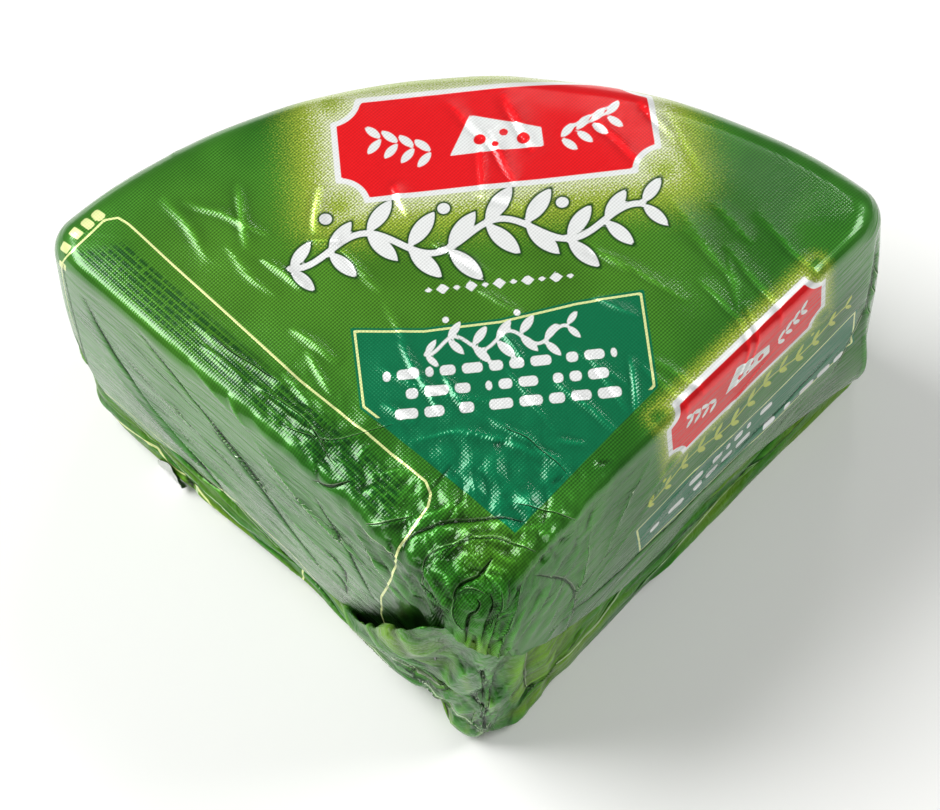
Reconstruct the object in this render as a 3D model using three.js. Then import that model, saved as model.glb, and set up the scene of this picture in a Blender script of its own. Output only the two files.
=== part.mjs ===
// A foil-wrapped wedge of blue cheese: a quarter of a wheel, cut to half of the wheel's height.
// Millimetres, +Z up. In plan the point of the wedge looks along -Y and its curved rind side
// along +Y. The origin is the bottom centre of the wedge's box.
// The pack is shut and full, so it is one solid. The soft cheese has spread a little: its walls
// swell and stand out at the base, and its point is slightly wider than a right angle. The outer
// fold of the foil stands as a low step over the layer below it.

import * as THREE from 'three';

// Driving dimensions
const WHEEL_RADIUS = 146;
const HEIGHT = 88.4;
const POINT_ANGLE = THREE.MathUtils.degToRad(91.3);

// Roundings of the wrapped cheese
const POINT_ROUND = 9;
const CORNER_ROUND = 9;
const TOP_EDGE_ROUND = 8.4;
const BASE_EDGE_ROUND = 4;

// How the soft cheese departs from a straight block
const BASE_LEAN = 0.8; // how far the walls stand out at the base
const WALL_BULGE = 2; // how far they swell half way up
const TOP_CROWN = 1.2; // how much higher the middle of the top is than its edges
const POINT_DROP = 3.6; // how far the top sinks at the point
const POINT_DROP_REACH = 30;

// The lower edge of the foil's outer fold, and how far it stands over the layer below
const FOLD_STEP = 0.9;
const FOLD_BAND = 1.2; // height over which the step is made
const FOLD_LEFT_HEIGHT = 64; // its height at the point, from which it falls along the left side
const FOLD_LEFT_FALL = 24; // length over which it falls to about a third
const FOLD_LEFT_END = 84; // from here on it lies at the base
const FOLD_RIGHT_HEIGHT = 20;
const FOLD_BACK_HEIGHT = 24;
const FOLD_WAVE = 3;
const FOLD_WAVE_LENGTH = 61;
const FOLD_LOWEST = BASE_EDGE_ROUND + 2;
const FOLD_FADE = 14; // length over which the step fades out at the point

// How finely each stretch is divided
const SIDE_STEPS = 22;
const RIND_STEPS = 26;
const POINT_STEPS = 7;
const CORNER_STEPS = 6;
const ROUND_STEPS = 4;
const LOWER_WALL_STEPS = 2;
const UPPER_WALL_STEPS = 5;
const TOP_RINGS = 6;

const HALF_ANGLE = POINT_ANGLE / 2;
const QUARTER_TURN = Math.PI / 2;
const { smoothstep, lerp } = THREE.MathUtils;

// The plan outline as stretches of line and arc, anticlockwise from the left of the point.
function planStretches() {
  const cornerDistance = WHEEL_RADIUS - CORNER_ROUND;
  const cornerTurn = HALF_ANGLE - Math.asin(CORNER_ROUND / cornerDistance);
  const sideStart = POINT_ROUND / Math.tan(HALF_ANGLE);
  const sideEnd = cornerDistance * Math.cos(HALF_ANGLE - cornerTurn);
  const onSide = (sign, distance) => new THREE.Vector2(
    sign * distance * Math.sin(HALF_ANGLE),
    distance * Math.cos(HALF_ANGLE),
  );
  const side = (sign, from, to) => new THREE.LineCurve(onSide(sign, from), onSide(sign, to));
  const arc = (x, y, radius, from, to) => new THREE.EllipseCurve(x, y, radius, radius, from, to);
  const cornerX = cornerDistance * Math.sin(cornerTurn);
  const cornerY = cornerDistance * Math.cos(cornerTurn);
  const pointY = POINT_ROUND / Math.sin(HALF_ANGLE);
  const rightNormal = -HALF_ANGLE;
  const leftNormal = Math.PI + HALF_ANGLE;
  const rindStart = QUARTER_TURN - cornerTurn;
  const rindEnd = QUARTER_TURN + cornerTurn;
  const point = arc(0, pointY, POINT_ROUND, leftNormal, 2 * Math.PI + rightNormal);
  const rightCorner = arc(cornerX, cornerY, CORNER_ROUND, rightNormal, rindStart);
  const rind = arc(0, 0, WHEEL_RADIUS, rindStart, rindEnd);
  const leftCorner = arc(-cornerX, cornerY, CORNER_ROUND, rindEnd, leftNormal);
  return [
    { at: 'point', steps: POINT_STEPS, curve: point },
    { at: 'right', steps: SIDE_STEPS, curve: side(1, sideStart, sideEnd) },
    { at: 'back', steps: CORNER_STEPS, curve: rightCorner },
    { at: 'back', steps: RIND_STEPS, curve: rind },
    { at: 'back', steps: CORNER_STEPS, curve: leftCorner },
    { at: 'left', steps: SIDE_STEPS, curve: side(-1, sideEnd, sideStart) },
  ];
}

// One column for each place round the outline: where it is, which way is out, how far along.
function outlineColumns() {
  const columns = [];
  let travelled = 0;
  for (const { at, steps, curve } of planStretches()) {
    for (let i = 0; i < steps; i += 1) {
      const place = curve.getPointAt(i / steps);
      const along = curve.getTangentAt(i / steps);
      columns.push({
        at,
        place,
        out: new THREE.Vector2(along.y, -along.x),
        run: travelled + curve.getLength() * (i / steps),
        fromPoint: place.length(),
      });
    }
    travelled += curve.getLength();
  }
  return columns;
}

// How high the fold's lower edge is at a column, and how much of the step shows there.
function foldAt({ at, run, fromPoint }) {
  const wave = FOLD_WAVE * Math.sin((2 * Math.PI * run) / FOLD_WAVE_LENGTH);
  if (at === 'left') {
    const height = FOLD_LEFT_HEIGHT * Math.exp(-fromPoint / FOLD_LEFT_FALL);
    const begins = smoothstep(fromPoint, POINT_ROUND, POINT_ROUND + FOLD_FADE);
    const ends = smoothstep(fromPoint, FOLD_LEFT_END - FOLD_FADE, FOLD_LEFT_END);
    return { height: Math.max(height, FOLD_LOWEST), shows: begins * (1 - ends) };
  }
  if (at === 'point') {
    return { height: FOLD_RIGHT_HEIGHT, shows: 0 };
  }
  const height = at === 'right'
    ? lerp(FOLD_RIGHT_HEIGHT, FOLD_BACK_HEIGHT, fromPoint / WHEEL_RADIUS)
    : FOLD_BACK_HEIGHT;
  return { height: height + wave, shows: smoothstep(fromPoint, POINT_ROUND, POINT_ROUND + FOLD_FADE) };
}

// How high the top stands over a place in plan; edge is 0 in the middle and 1 at the rim.
function topHeight(x, y, edge) {
  const drop = Math.exp(-((x * x + y * y) / (POINT_DROP_REACH * POINT_DROP_REACH)));
  return HEIGHT - TOP_CROWN * edge ** 4 - POINT_DROP * drop;
}

// How far the wall stands in from the outline at a height. It is negative where it stands out.
function wallInset(z) {
  const share = z / HEIGHT;
  return -BASE_LEAN * (1 - share) - WALL_BULGE * Math.sin(Math.PI * share);
}

// The profile of one column, from the rim of the base up to the rim of the top.
function profile(column) {
  const { place } = column;
  const rimHeight = topHeight(place.x, place.y, 1);
  const topStart = rimHeight - TOP_EDGE_ROUND;
  const fold = foldAt(column);
  const step = FOLD_STEP * fold.shows;
  const points = [];
  for (let i = 0; i <= ROUND_STEPS; i += 1) {
    const turn = (QUARTER_TURN * i) / ROUND_STEPS;
    const inset = wallInset(BASE_EDGE_ROUND) + step + BASE_EDGE_ROUND * (1 - Math.sin(turn));
    points.push([inset, BASE_EDGE_ROUND * (1 - Math.cos(turn))]);
  }
  for (let i = 1; i <= LOWER_WALL_STEPS; i += 1) {
    const z = lerp(BASE_EDGE_ROUND, fold.height - FOLD_BAND / 2, i / LOWER_WALL_STEPS);
    points.push([wallInset(z) + step, z]);
  }
  for (let i = 0; i <= UPPER_WALL_STEPS; i += 1) {
    const z = lerp(fold.height + FOLD_BAND / 2, topStart, i / UPPER_WALL_STEPS);
    points.push([wallInset(z), z]);
  }
  for (let i = 1; i <= ROUND_STEPS; i += 1) {
    const turn = (QUARTER_TURN * i) / ROUND_STEPS;
    const inset = wallInset(topStart) + TOP_EDGE_ROUND * (1 - Math.cos(turn));
    points.push([inset, topStart + TOP_EDGE_ROUND * Math.sin(turn)]);
  }
  return points;
}

// Every ring of points, from the base's rim to the smallest ring on the top.
function wedgeRings(columns) {
  const rings = [];
  const profiles = columns.map(profile);
  for (let row = 0; row < profiles[0].length; row += 1) {
    rings.push(columns.map(({ place, out }, i) => {
      const [inset, z] = profiles[i][row];
      return new THREE.Vector3(place.x - out.x * inset, place.y - out.y * inset, z);
    }));
  }
  const rim = rings[rings.length - 1];
  const middle = middleOf(rim);
  for (let ring = 1; ring < TOP_RINGS; ring += 1) {
    const edge = 1 - ring / TOP_RINGS;
    rings.push(rim.map((point) => {
      const x = lerp(middle.x, point.x, edge);
      const y = lerp(middle.y, point.y, edge);
      return new THREE.Vector3(x, y, topHeight(x, y, edge));
    }));
  }
  return rings;
}

function middleOf(ring) {
  const sum = ring.reduce((total, point) => total.add(point), new THREE.Vector3());
  return sum.divideScalar(ring.length);
}

// One closed surface: the rings joined by bands, with a fan on the base and one on the top.
function wedgeGeometry() {
  const columns = outlineColumns();
  const rings = wedgeRings(columns);
  const around = columns.length;
  const corners = rings.flat();
  const index = [];
  for (let ring = 0; ring + 1 < rings.length; ring += 1) {
    for (let i = 0; i < around; i += 1) {
      const here = ring * around + i;
      const next = ring * around + ((i + 1) % around);
      index.push(here, next, next + around, here, next + around, here + around);
    }
  }
  const base = corners.length;
  const top = base + 1;
  const lastRing = (rings.length - 1) * around;
  const crest = middleOf(rings[rings.length - 1]);
  corners.push(middleOf(rings[0]), new THREE.Vector3(crest.x, crest.y, topHeight(crest.x, crest.y, 0)));
  for (let i = 0; i < around; i += 1) {
    const next = (i + 1) % around;
    index.push(base, next, i, top, lastRing + i, lastRing + next);
  }
  const geometry = new THREE.BufferGeometry().setFromPoints(corners);
  geometry.setIndex(index);
  geometry.computeBoundingBox();
  const { min, max } = geometry.boundingBox;
  geometry.translate(-(min.x + max.x) / 2, -(min.y + max.y) / 2, -min.z);
  geometry.computeVertexNormals();
  return geometry;
}

const printedFoil = new THREE.MeshStandardMaterial({ color: '#3f7f2a', roughness: 0.38, metalness: 0.45 });
const wedge = new THREE.Mesh(wedgeGeometry(), printedFoil);
wedge.name = 'wrapped_wedge';

const model = new THREE.Group();
model.add(wedge);

export default model;
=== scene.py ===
# %% [markdown]
# # A foil-wrapped wedge of blue cheese
# The real object is a quarter of a cheese wheel, cut to half of its height and wrapped in one big
# sheet of printed aluminium foil. The sheet lies over the top, comes down the three walls, and its
# ends are folded over each other under the block. Soft cheese gives, so nothing on it is quite flat.
# The CAD model gives its size and place. This script makes the foil itself, layer by layer.

# %% Load the frame
import math

import bpy
import numpy as np
from mathutils import Matrix, Vector


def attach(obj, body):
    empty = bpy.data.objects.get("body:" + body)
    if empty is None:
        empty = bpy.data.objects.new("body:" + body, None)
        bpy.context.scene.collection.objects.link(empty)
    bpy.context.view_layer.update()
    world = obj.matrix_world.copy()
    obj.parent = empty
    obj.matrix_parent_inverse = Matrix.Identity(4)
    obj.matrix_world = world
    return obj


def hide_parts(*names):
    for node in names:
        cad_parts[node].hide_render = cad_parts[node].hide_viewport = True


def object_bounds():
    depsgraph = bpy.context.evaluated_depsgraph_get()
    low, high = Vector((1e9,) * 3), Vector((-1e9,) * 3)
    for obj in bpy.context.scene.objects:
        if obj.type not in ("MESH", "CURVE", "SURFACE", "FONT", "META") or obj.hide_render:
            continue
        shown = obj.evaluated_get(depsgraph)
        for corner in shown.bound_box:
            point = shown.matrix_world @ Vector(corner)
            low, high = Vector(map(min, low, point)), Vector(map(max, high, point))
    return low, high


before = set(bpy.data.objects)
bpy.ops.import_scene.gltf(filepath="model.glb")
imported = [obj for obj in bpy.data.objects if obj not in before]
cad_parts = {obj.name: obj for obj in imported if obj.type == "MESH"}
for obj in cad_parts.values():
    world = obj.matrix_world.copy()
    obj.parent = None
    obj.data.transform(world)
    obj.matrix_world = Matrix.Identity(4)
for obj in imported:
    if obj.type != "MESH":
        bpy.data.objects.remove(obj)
cad_box = [list(corner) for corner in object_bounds()]
MM = 0.001
print("CAD box in mm:", [[round(value / MM, 1) for value in corner] for corner in cad_box])

# %% [markdown]
# ## The block under the foil
# The shape is worked out in millimetres from the tip of the wedge, with +Y towards the rind. The
# outline is made of lines and arcs. Each column of the foil stands at one place of this outline
# and knows which way is out, which side it is on, and how far it is from the tip.

# %% Sizes of the block
WHEEL_RADIUS = 146.0
HEIGHT = cad_box[1][2] / MM
HALF_ANGLE = math.radians(91.3) / 2
POINT_ROUND = 9.0
CORNER_ROUND = 9.0
TOP_ROUND_OF_SIDE = (3.4, 8.0, 3.6, 7.5)  # left, point, right, back
BASE_ROUND = 4.5
BASE_LEAN = 0.8
WALL_SWELL = 2.0
POINT_SPREAD = 2.6  # the base of the soft point stands out this much more
POINT_SPREAD_REACH = 26.0
TOP_CROWN = 1.2
POINT_DROP = 3.6
POINT_DROP_REACH = 30.0
MOST_SWELL = WALL_SWELL + BASE_LEAN / 2
TIP_Y = cad_box[1][1] / MM - WHEEL_RADIUS - MOST_SWELL
LEFT, POINT, RIGHT, BACK = range(4)
print("The tip of the wedge stands at y =", round(TIP_Y, 1), "mm")

# %% Lines and arcs of the outline
def side_place(sign, distance):
    return np.array([sign * math.sin(HALF_ANGLE), math.cos(HALF_ANGLE)]) * distance


def straight(start, end, out, count):
    share = np.arange(count)[:, None] / count
    return start + (end - start) * share, np.tile(out, (count, 1))


def bend(centre, radius, start, end, count):
    turn = start + (end - start) * np.arange(count) / count
    out = np.stack([np.cos(turn), np.sin(turn)], 1)
    return np.asarray(centre) + radius * out, out


# %% The columns round the block, anticlockwise from the left of the point
def outline(point, side, corner, rind):
    """The columns round the block, with so many on each stretch."""
    corner_far = WHEEL_RADIUS - CORNER_ROUND
    corner_turn = HALF_ANGLE - math.asin(CORNER_ROUND / corner_far)
    near = POINT_ROUND / math.tan(HALF_ANGLE)
    far = corner_far * math.cos(HALF_ANGLE - corner_turn)
    right_out = np.array([math.cos(HALF_ANGLE), -math.sin(HALF_ANGLE)])
    left_out = right_out * [-1, 1]
    up = math.pi / 2
    corner_at = corner_far * np.array([math.sin(corner_turn), math.cos(corner_turn)])
    point_at = [0, POINT_ROUND / math.sin(HALF_ANGLE)]
    stretches = [
        (POINT, bend(point_at, POINT_ROUND, math.pi + HALF_ANGLE, 2 * math.pi - HALF_ANGLE, point)),
        (RIGHT, straight(side_place(1, near), side_place(1, far), right_out, side)),
        (BACK, bend(corner_at, CORNER_ROUND, -HALF_ANGLE, up - corner_turn, corner)),
        (BACK, bend([0, 0], WHEEL_RADIUS, up - corner_turn, up + corner_turn, rind)),
        (BACK, bend(corner_at * [-1, 1], CORNER_ROUND, up + corner_turn, math.pi + HALF_ANGLE, corner)),
        (LEFT, straight(side_place(-1, far), side_place(-1, near), left_out, side)),
    ]
    place = np.concatenate([stretch[0] for _, stretch in stretches])
    out = np.concatenate([stretch[1] for _, stretch in stretches])
    side_of = np.concatenate([np.full(len(stretch[0]), at) for at, stretch in stretches])
    steps = np.linalg.norm(np.roll(place, -1, 0) - place, axis=1)
    run = np.concatenate([[0], np.cumsum(steps)[:-1]])
    return {"place": place, "out": out, "side": side_of, "run": run, "round": steps.sum(),
            "far": np.linalg.norm(place, axis=1)}


print("The wedge is", round(outline(20, 100, 20, 100)["round"]), "mm round")


# %% The top and the walls
def top_height(x, y, edge):
    drop = np.exp(-(x ** 2 + y ** 2) / POINT_DROP_REACH ** 2)
    return HEIGHT - TOP_CROWN * edge ** 4 - POINT_DROP * drop


def wall_inset(z, far=WHEEL_RADIUS):
    """How far the wall lies inside the outline; below 0 it stands out beyond it."""
    share = z / HEIGHT
    spread = POINT_SPREAD * np.exp(-(far / POINT_SPREAD_REACH) ** 2)
    return -(BASE_LEAN + spread) * (1 - share) - WALL_SWELL * np.sin(np.pi * share)


def down_at(z, top, rounding):
    """How far down the foil, from the edge of the flat top, a height on the wall is."""
    under = np.arcsin(np.clip(1 - z / BASE_ROUND, 0, 1)) * BASE_ROUND
    return rounding * (np.pi / 2 - 1) + top - np.maximum(z, BASE_ROUND) + under


def wall_profile(down, top, rounding, far):
    """Inset and height after going so far down the foil."""
    turn = np.clip(down / rounding, 0, np.pi / 2)
    straight_z = top - rounding - np.maximum(down - rounding * np.pi / 2, 0)
    under = np.clip((BASE_ROUND - straight_z) / BASE_ROUND, 0, np.pi / 2)
    z = np.where(turn < np.pi / 2, top - rounding * (1 - np.cos(turn)), np.maximum(straight_z, BASE_ROUND))
    z = z - BASE_ROUND * np.sin(under)
    inset = rounding * (1 - np.sin(turn)) + BASE_ROUND * (1 - np.cos(under))
    return inset + wall_inset(z, far), z


print("Foil from the top's edge down to the base:", round(float(down_at(0.0, HEIGHT, 4.0)), 1), "mm")


# %% Smoothing along the outline
def blurred_round(values, columns, reach):
    """Values of the columns, smoothed along the outline."""
    run, whole = columns["run"], columns["round"]
    step = 0.5
    evenly = np.arange(-2 * reach, whole + 2 * reach, step)
    wide = np.interp(evenly, np.concatenate([run - whole, run, run + whole]), np.tile(values, 3))
    kernel = np.hanning(int(reach / step) * 2 + 1)
    wide = np.convolve(np.pad(wide, len(kernel) // 2, "edge"), kernel / kernel.sum(), "valid")
    return np.interp(run, evenly, wide)


def top_rounding(columns):
    return blurred_round(np.choose(columns["side"], TOP_ROUND_OF_SIDE), columns, 8.0)


def rim_top(columns):
    return top_height(columns["place"][:, 0], columns["place"][:, 1], 1.0)


print("The top's edge is rounded by", TOP_ROUND_OF_SIDE, "mm on the left, point, right and back")

# %% [markdown]
# ## Where the outer fold ends
# The outer layer stops at a folded edge. It comes down the point like a curtain pulled aside, and
# runs about 20 mm above the base along the sides. To the left of the point the layer below comes out
# over it instead and stands off the wall, which leaves a deep, dark pocket. Reading these heights
# off at a few places and smoothing between them is simpler than simulating a wrapping
# machine.

# %% The lower edge of the outer fold
FOLD_LEFT = [(0, 68), (9.5, 66), (20, 50), (31, 32), (42, 18), (50, 16), (64, 16), (81, 24.5), (92, 25),
             (104, 24.5), (117, 17), (134, 20.5), (144, 29)]
FOLD_RIGHT = [(0, 50), (14, 43), (27, 32), (34, 28.5), (49, 19.5), (64, 19), (79, 24), (94, 25), (110, 18.5),
              (123, 14), (140, 10)]
FOLD_BACK = 23.0
FOLD_RIGHT_CORNER, RIGHT_CORNER_REACH = 11.0, (0.0, 45.0)
FOLD_LEFT_CORNER, LEFT_CORNER_REACH = 44.0, (14.0, 60.0)
FOLD_WAVE = 2.5
FOLD_WAVE_LENGTH = 61.0
FOLD_SMOOTHING = 4.0
POCKET = 5.0  # how far the layer below stands off the wall, beside the point
POCKET_FROM = (5.0, 13.0)
POCKET_TO = (22.0, 64.0)
POCKET_SMOOTHING = 6.0


def smooth(value, low, high):
    share = np.clip((value - low) / (high - low), 0, 1)
    return share * share * (3 - 2 * share)


def fold_height(columns, shift=0.0):
    """Height of the fold at each column, read off the left side so many millimetres further on."""
    far, side, run = columns["far"], columns["side"], columns["run"]
    left = np.interp(far + shift, *np.array(FOLD_LEFT).T)
    right = np.interp(far, *np.array(FOLD_RIGHT).T)
    from_left = run[side == LEFT].min() - run
    from_right = run - run[side == BACK].min()
    back = FOLD_BACK + FOLD_WAVE * np.sin(2 * np.pi * run / FOLD_WAVE_LENGTH)
    back = back + (FOLD_RIGHT_CORNER - back) * (1 - smooth(from_right, *RIGHT_CORNER_REACH))
    back = back + (FOLD_LEFT_CORNER - back) * (1 - smooth(from_left, *LEFT_CORNER_REACH))
    across = np.clip(run / (2 * POINT_ROUND * (np.pi / 2 - HALF_ANGLE)), 0, 1)
    left_of_point, right_of_point = FOLD_LEFT[0][1], FOLD_RIGHT[0][1]
    at_point = left_of_point + (right_of_point - left_of_point) * across
    return blurred_round(np.choose(side, [left, at_point, right, back]), columns, FOLD_SMOOTHING)


def pocket_share(columns):
    """0 where the outer layer lies on top, 1 where the layer below stands off it."""
    far = columns["far"]
    open_here = smooth(far, *POCKET_FROM) * (1 - smooth(far, *POCKET_TO))
    return blurred_round(np.where(columns["side"] == LEFT, open_here, 0.0), columns, POCKET_SMOOTHING)


print("The fold is", FOLD_LEFT[0][1], "mm up left of the point,", FOLD_RIGHT[0][1], "mm right of it")

# %% [markdown]
# ## Creases
# Foil keeps every crease. Three things are mixed here: gradient noise, for soft dents; zigzags that
# cross each other, which make the flat facets of crumpled foil; and single creases pressed along a
# line, each with a sharp crest, a steep side and a gentle side. All are worked out on the sheet as
# if it were laid flat, so a crease runs over an edge as it does on the real thing. The main long
# creases lie about as on the real pack; the short ones between them come from a seeded generator.

# %% Gradient noise
RANDOM = np.random.default_rng(7)
SHUFFLED = np.tile(RANDOM.permutation(256), 2)
SLOPES = RANDOM.normal(size=(256, 3))
SLOPES /= np.linalg.norm(SLOPES, axis=1, keepdims=True)


def noise(points, size, seed=0):
    """Smooth noise between about -1 and 1, with bumps of the given size."""
    points = np.atleast_2d(points)
    scaled = np.zeros((len(points), 3))
    scaled[:, :points.shape[1]] = points / size
    scaled += seed * 17.3
    cell = np.floor(scaled).astype(int)
    inside = scaled - cell
    fade = inside ** 3 * (inside * (inside * 6 - 15) + 10)
    total = np.zeros(len(points))
    for corner in np.ndindex(2, 2, 2):
        at = (cell + corner) & 255
        picked = SHUFFLED[SHUFFLED[SHUFFLED[at[:, 0]] + at[:, 1]] + at[:, 2]]
        weight = np.prod(np.where(corner, fade, 1 - fade), axis=1)
        total += weight * np.einsum("ij,ij->i", SLOPES[picked], inside - corner)
    return 1.6 * total


print("Noise in the middle of the sheet:", round(float(noise([[0.0, 84.0]], 20)[0]), 2))


# %% Crushed and folded foil
def crushed(points, size, seed=0):
    """Noise with sharp crests, as crushed foil has: three sizes of facet on top of each other."""
    bent = points + 0.35 * size * np.stack(
        [noise(points, 1.7 * size, seed + i) for i in range(points.shape[1])], 1)
    layers = [(1.0, 1.0), (0.55, 0.5), (0.3, 0.26)]
    return sum(share * (0.55 - np.abs(noise(bent, size * scale, seed + 5 + i)) * 1.8)
               for i, (scale, share) in enumerate(layers))


def folded(points, size, seed):
    """Flat facets with straight sharp edges, as crumpled foil has: zigzags that cross each other."""
    draw = np.random.default_rng(seed)
    bent = points + 0.3 * size * np.stack(
        [noise(points, 2.2 * size, seed + i) for i in range(points.shape[1])], 1)
    total = np.zeros(len(points))
    for _ in range(6):
        heading = draw.normal(size=points.shape[1])
        length = size * draw.uniform(0.7, 2.0)
        turns = bent @ (heading / np.linalg.norm(heading)) / length + draw.uniform()
        total += length / size * (np.abs(turns - np.floor(turns) - 0.5) - 0.25)
    return total


# %% A single crease along a line
CREASE_WOBBLE, WOBBLE_LENGTH = 0.5, 8.0
GENTLE_SIDE, STEEP_SIDE = 1.5, 0.6  # how far each side of the crest reaches, in crease widths
FAINTEST = 0.03  # how strong a painted crease line still is at the ends of its crease
FAR_FROM_CREASE = 9.0


def press_crease(height, lines, sheet, path, width, rise, dark):
    """
    Adds a crease of that rise along a path on the flat sheet; a negative rise is a groove.
    The lines keep the signed and the plain distance to the nearest crease, divided by how strong its painted
    line of shade and highlight is.
    """
    path = np.asarray(path, float)
    reach = 7 * width + 2
    low, high = path.min(0) - reach, path.max(0) + reach
    near = np.flatnonzero(((sheet > low) & (sheet < high)).all(1))
    if not len(near):
        return
    here = sheet[near]
    lengths = np.linalg.norm(np.diff(path, axis=0), axis=1)
    total, gone = lengths.sum(), 0.0
    best = np.full(len(near), np.inf)
    offset = np.zeros(len(near))
    along = np.zeros(len(near))
    for start, end, length in zip(path, path[1:], lengths):
        ahead = (end - start) / length
        from_start = here - start
        share = from_start @ ahead
        held = np.clip(share, 0, length)
        gap = np.linalg.norm(from_start - held[:, None] * ahead, axis=1)
        closer = gap < best
        side_sign = np.sign(from_start @ np.array([-ahead[1], ahead[0]]))
        best = np.where(closer, gap, best)
        offset = np.where(closer, gap * side_sign, offset)
        along = np.where(closer, (gone + held) / total, along)
        gone += length
    offset = offset + CREASE_WOBBLE * noise(here, WOBBLE_LENGTH, 3)
    taper = np.maximum(np.sin(np.pi * along), 0) ** 0.7
    side_width = width * np.where(offset > 0, GENTLE_SIDE, STEEP_SIDE)
    height[near] += rise * taper * np.exp(-np.abs(offset) / side_width)
    if dark:
        strength = np.maximum(dark * taper, FAINTEST)
        nearer = np.abs(offset) / strength < lines[near, 1]
        lines[near[nearer], 0] = (offset / strength)[nearer]
        lines[near[nearer], 1] = (np.maximum(np.abs(offset), best) / strength)[nearer]


# %% Places on the laid-out sheet
def on_wall(sign, far, z):
    """A place on the left (-1) or right (1) wall, on the sheet laid flat."""
    out = np.array([sign * math.cos(HALF_ANGLE), -math.sin(HALF_ANGLE)])
    rounding = TOP_ROUND_OF_SIDE[LEFT if sign < 0 else RIGHT]
    return side_place(sign, far) + out * (float(down_at(z, HEIGHT - TOP_CROWN, rounding)) - rounding)


def on_rind(turn_degrees, z):
    """A place on the curved wall, so many degrees to the right of its middle."""
    turn = math.radians(90 - turn_degrees)
    out = np.array([math.cos(turn), math.sin(turn)])
    rounding = TOP_ROUND_OF_SIDE[BACK]
    return out * (WHEEL_RADIUS - rounding + float(down_at(z, HEIGHT - TOP_CROWN, rounding)))


# %% The creases over the point, where the foil is gathered
SWIRL_AT = np.array([-1.0, 5.5])
SWIRL_CREASES = [  # path on the sheet, width, rise, how strong its painted lines of crease shade and highlight are
    ([(0.4, 4.6), (1.4, 2.6), (-1.2, 0.2), (-3.2, -3.5), (-6.5, -13)], 0.6, -1.2, 1.7),
    ([(-4.5, -6), (-6.4, 0), (-4.8, 5.4), (-0.9, 7.2), (2.8, 5.4)], 0.6, 1.1, 1.1),
    ([(-5.8, 3.5), (-3.6, 7.4), (1.2, 9.8), (4.8, 13.8)], 0.6, -1.0, 1.2),
    ([(3.6, 6.0), (5.4, 1.6), (4.8, -6), (1.5, -14)], 0.6, -1.0, 1.0),
    ([(6.4, 7.0), (7.2, 0), (6.2, -9)], 0.5, 0.8, 0.7),
    ([(8.2, 9), (9.6, 1), (8.4, -11), (4.5, -24), (0.0, -31)], 0.7, -1.1, 1.1),
    ([(11.6, 11), (14.4, 3), (14.4, -14), (10.5, -30), (3, -42)], 0.7, 0.9, 0.9),
    ([(-12.4, 9.0), (-11.6, 13.5), (-6.6, 16.4), (0.3, 18.0), (7.3, 17.5), (15.0, 14.8)], 1.0, 1.0, 1.3),
    ([(-17.2, 15.0), (-15.0, 19.0), (-9.3, 21.4), (-1.9, 22.6), (5.2, 23.0), (12.5, 21.7)], 0.9, -0.9, 1.2),
    ([(-14.6, 2.5), (-14.0, 6.5), (-12.8, 11.5)], 0.6, -0.8, 1.0),
    ([(-32.4, 27.9), (-27.4, 22.6), (-21.5, 16.1), (-17.4, 11.5)], 0.8, 0.8, 0.9),
    ([(-39.4, 33.7), (-33.6, 31.8), (-27.4, 33.4)], 0.8, -0.7, 0.9),
    ([(-7.6, 12.8), (-4.6, 17.0), (1.0, 19.4)], 0.6, 0.8, 0.8),
    ([(-18.5, 9.6), (-12, 4.6), (-7.6, 0.5)], 0.7, -0.9, 0.9),
    ([(-25.1, 23.3), (-21.0, 22.6), (-13.1, 24.3)], 0.7, 0.7, 0.8),
    ([(8, 27), (18, 24), (26, 22)], 0.7, 0.5, 0.5),
]

# %% The long creases of the walls and the top
LEFT_WALL_CREASES = [  # distance from the tip and height of each place on the path, then as above
    ([(131, 76), (126, 60.5), (117, 50), (108, 40), (96, 33)], 1.0, -1.0, 1.0),
    ([(112, 44), (98, 34), (88, 24)], 1.5, -1.3, 2.6),
    ([(118, 54), (108, 44), (94, 37), (80, 32)], 0.9, 0.8, 0.5),
    ([(112, 84), (91.5, 70.6), (72.6, 58), (60, 47.5)], 0.8, -0.7, 0.9),
    ([(100, 78), (76, 58), (58, 49), (40, 47)], 0.9, 0.6, 0.5),
    ([(88, 66), (66, 46), (50, 31)], 0.8, -0.7, 0.8),
    ([(72, 78), (52, 64), (32, 60)], 0.9, 0.8, 0.6),
    ([(128, 50), (104, 33), (84, 27)], 0.8, 0.6, 0.4),
    ([(52, 76), (40, 58), (33, 44)], 0.7, -0.7, 0.8),
    ([(38, 78), (28, 64), (20, 60)], 0.7, 0.7, 0.7),
    ([(50, 50), (44, 48), (43, 38)], 0.6, -0.7, 1.1),
    ([(48, 40), (45, 37), (44, 30)], 0.6, -0.6, 1.2),
]
RIGHT_WALL_CREASES = [  # folds that run down towards the point, and the gathered corner
    ([(18, 80), (28, 62), (31, 46), (26, 28)], 0.9, -0.7, 0.9),
    ([(38, 78), (33, 54), (24, 34)], 0.9, 0.7, 0.4),
    ([(60, 80), (46, 66), (40, 52)], 0.9, 0.5, 0.4),
    ([(20, 44), (44, 33), (70, 31), (96, 34)], 0.9, -0.6, 0.8),
    ([(72, 42), (98, 36), (128, 42)], 0.7, -0.5, 0.5),
    ([(143, 84), (141, 62), (136, 44), (126, 28)], 1.4, -1.2, 1.8),
    ([(146, 76), (145, 50), (140, 28)], 1.0, 1.0, 0.8),
]
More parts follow.
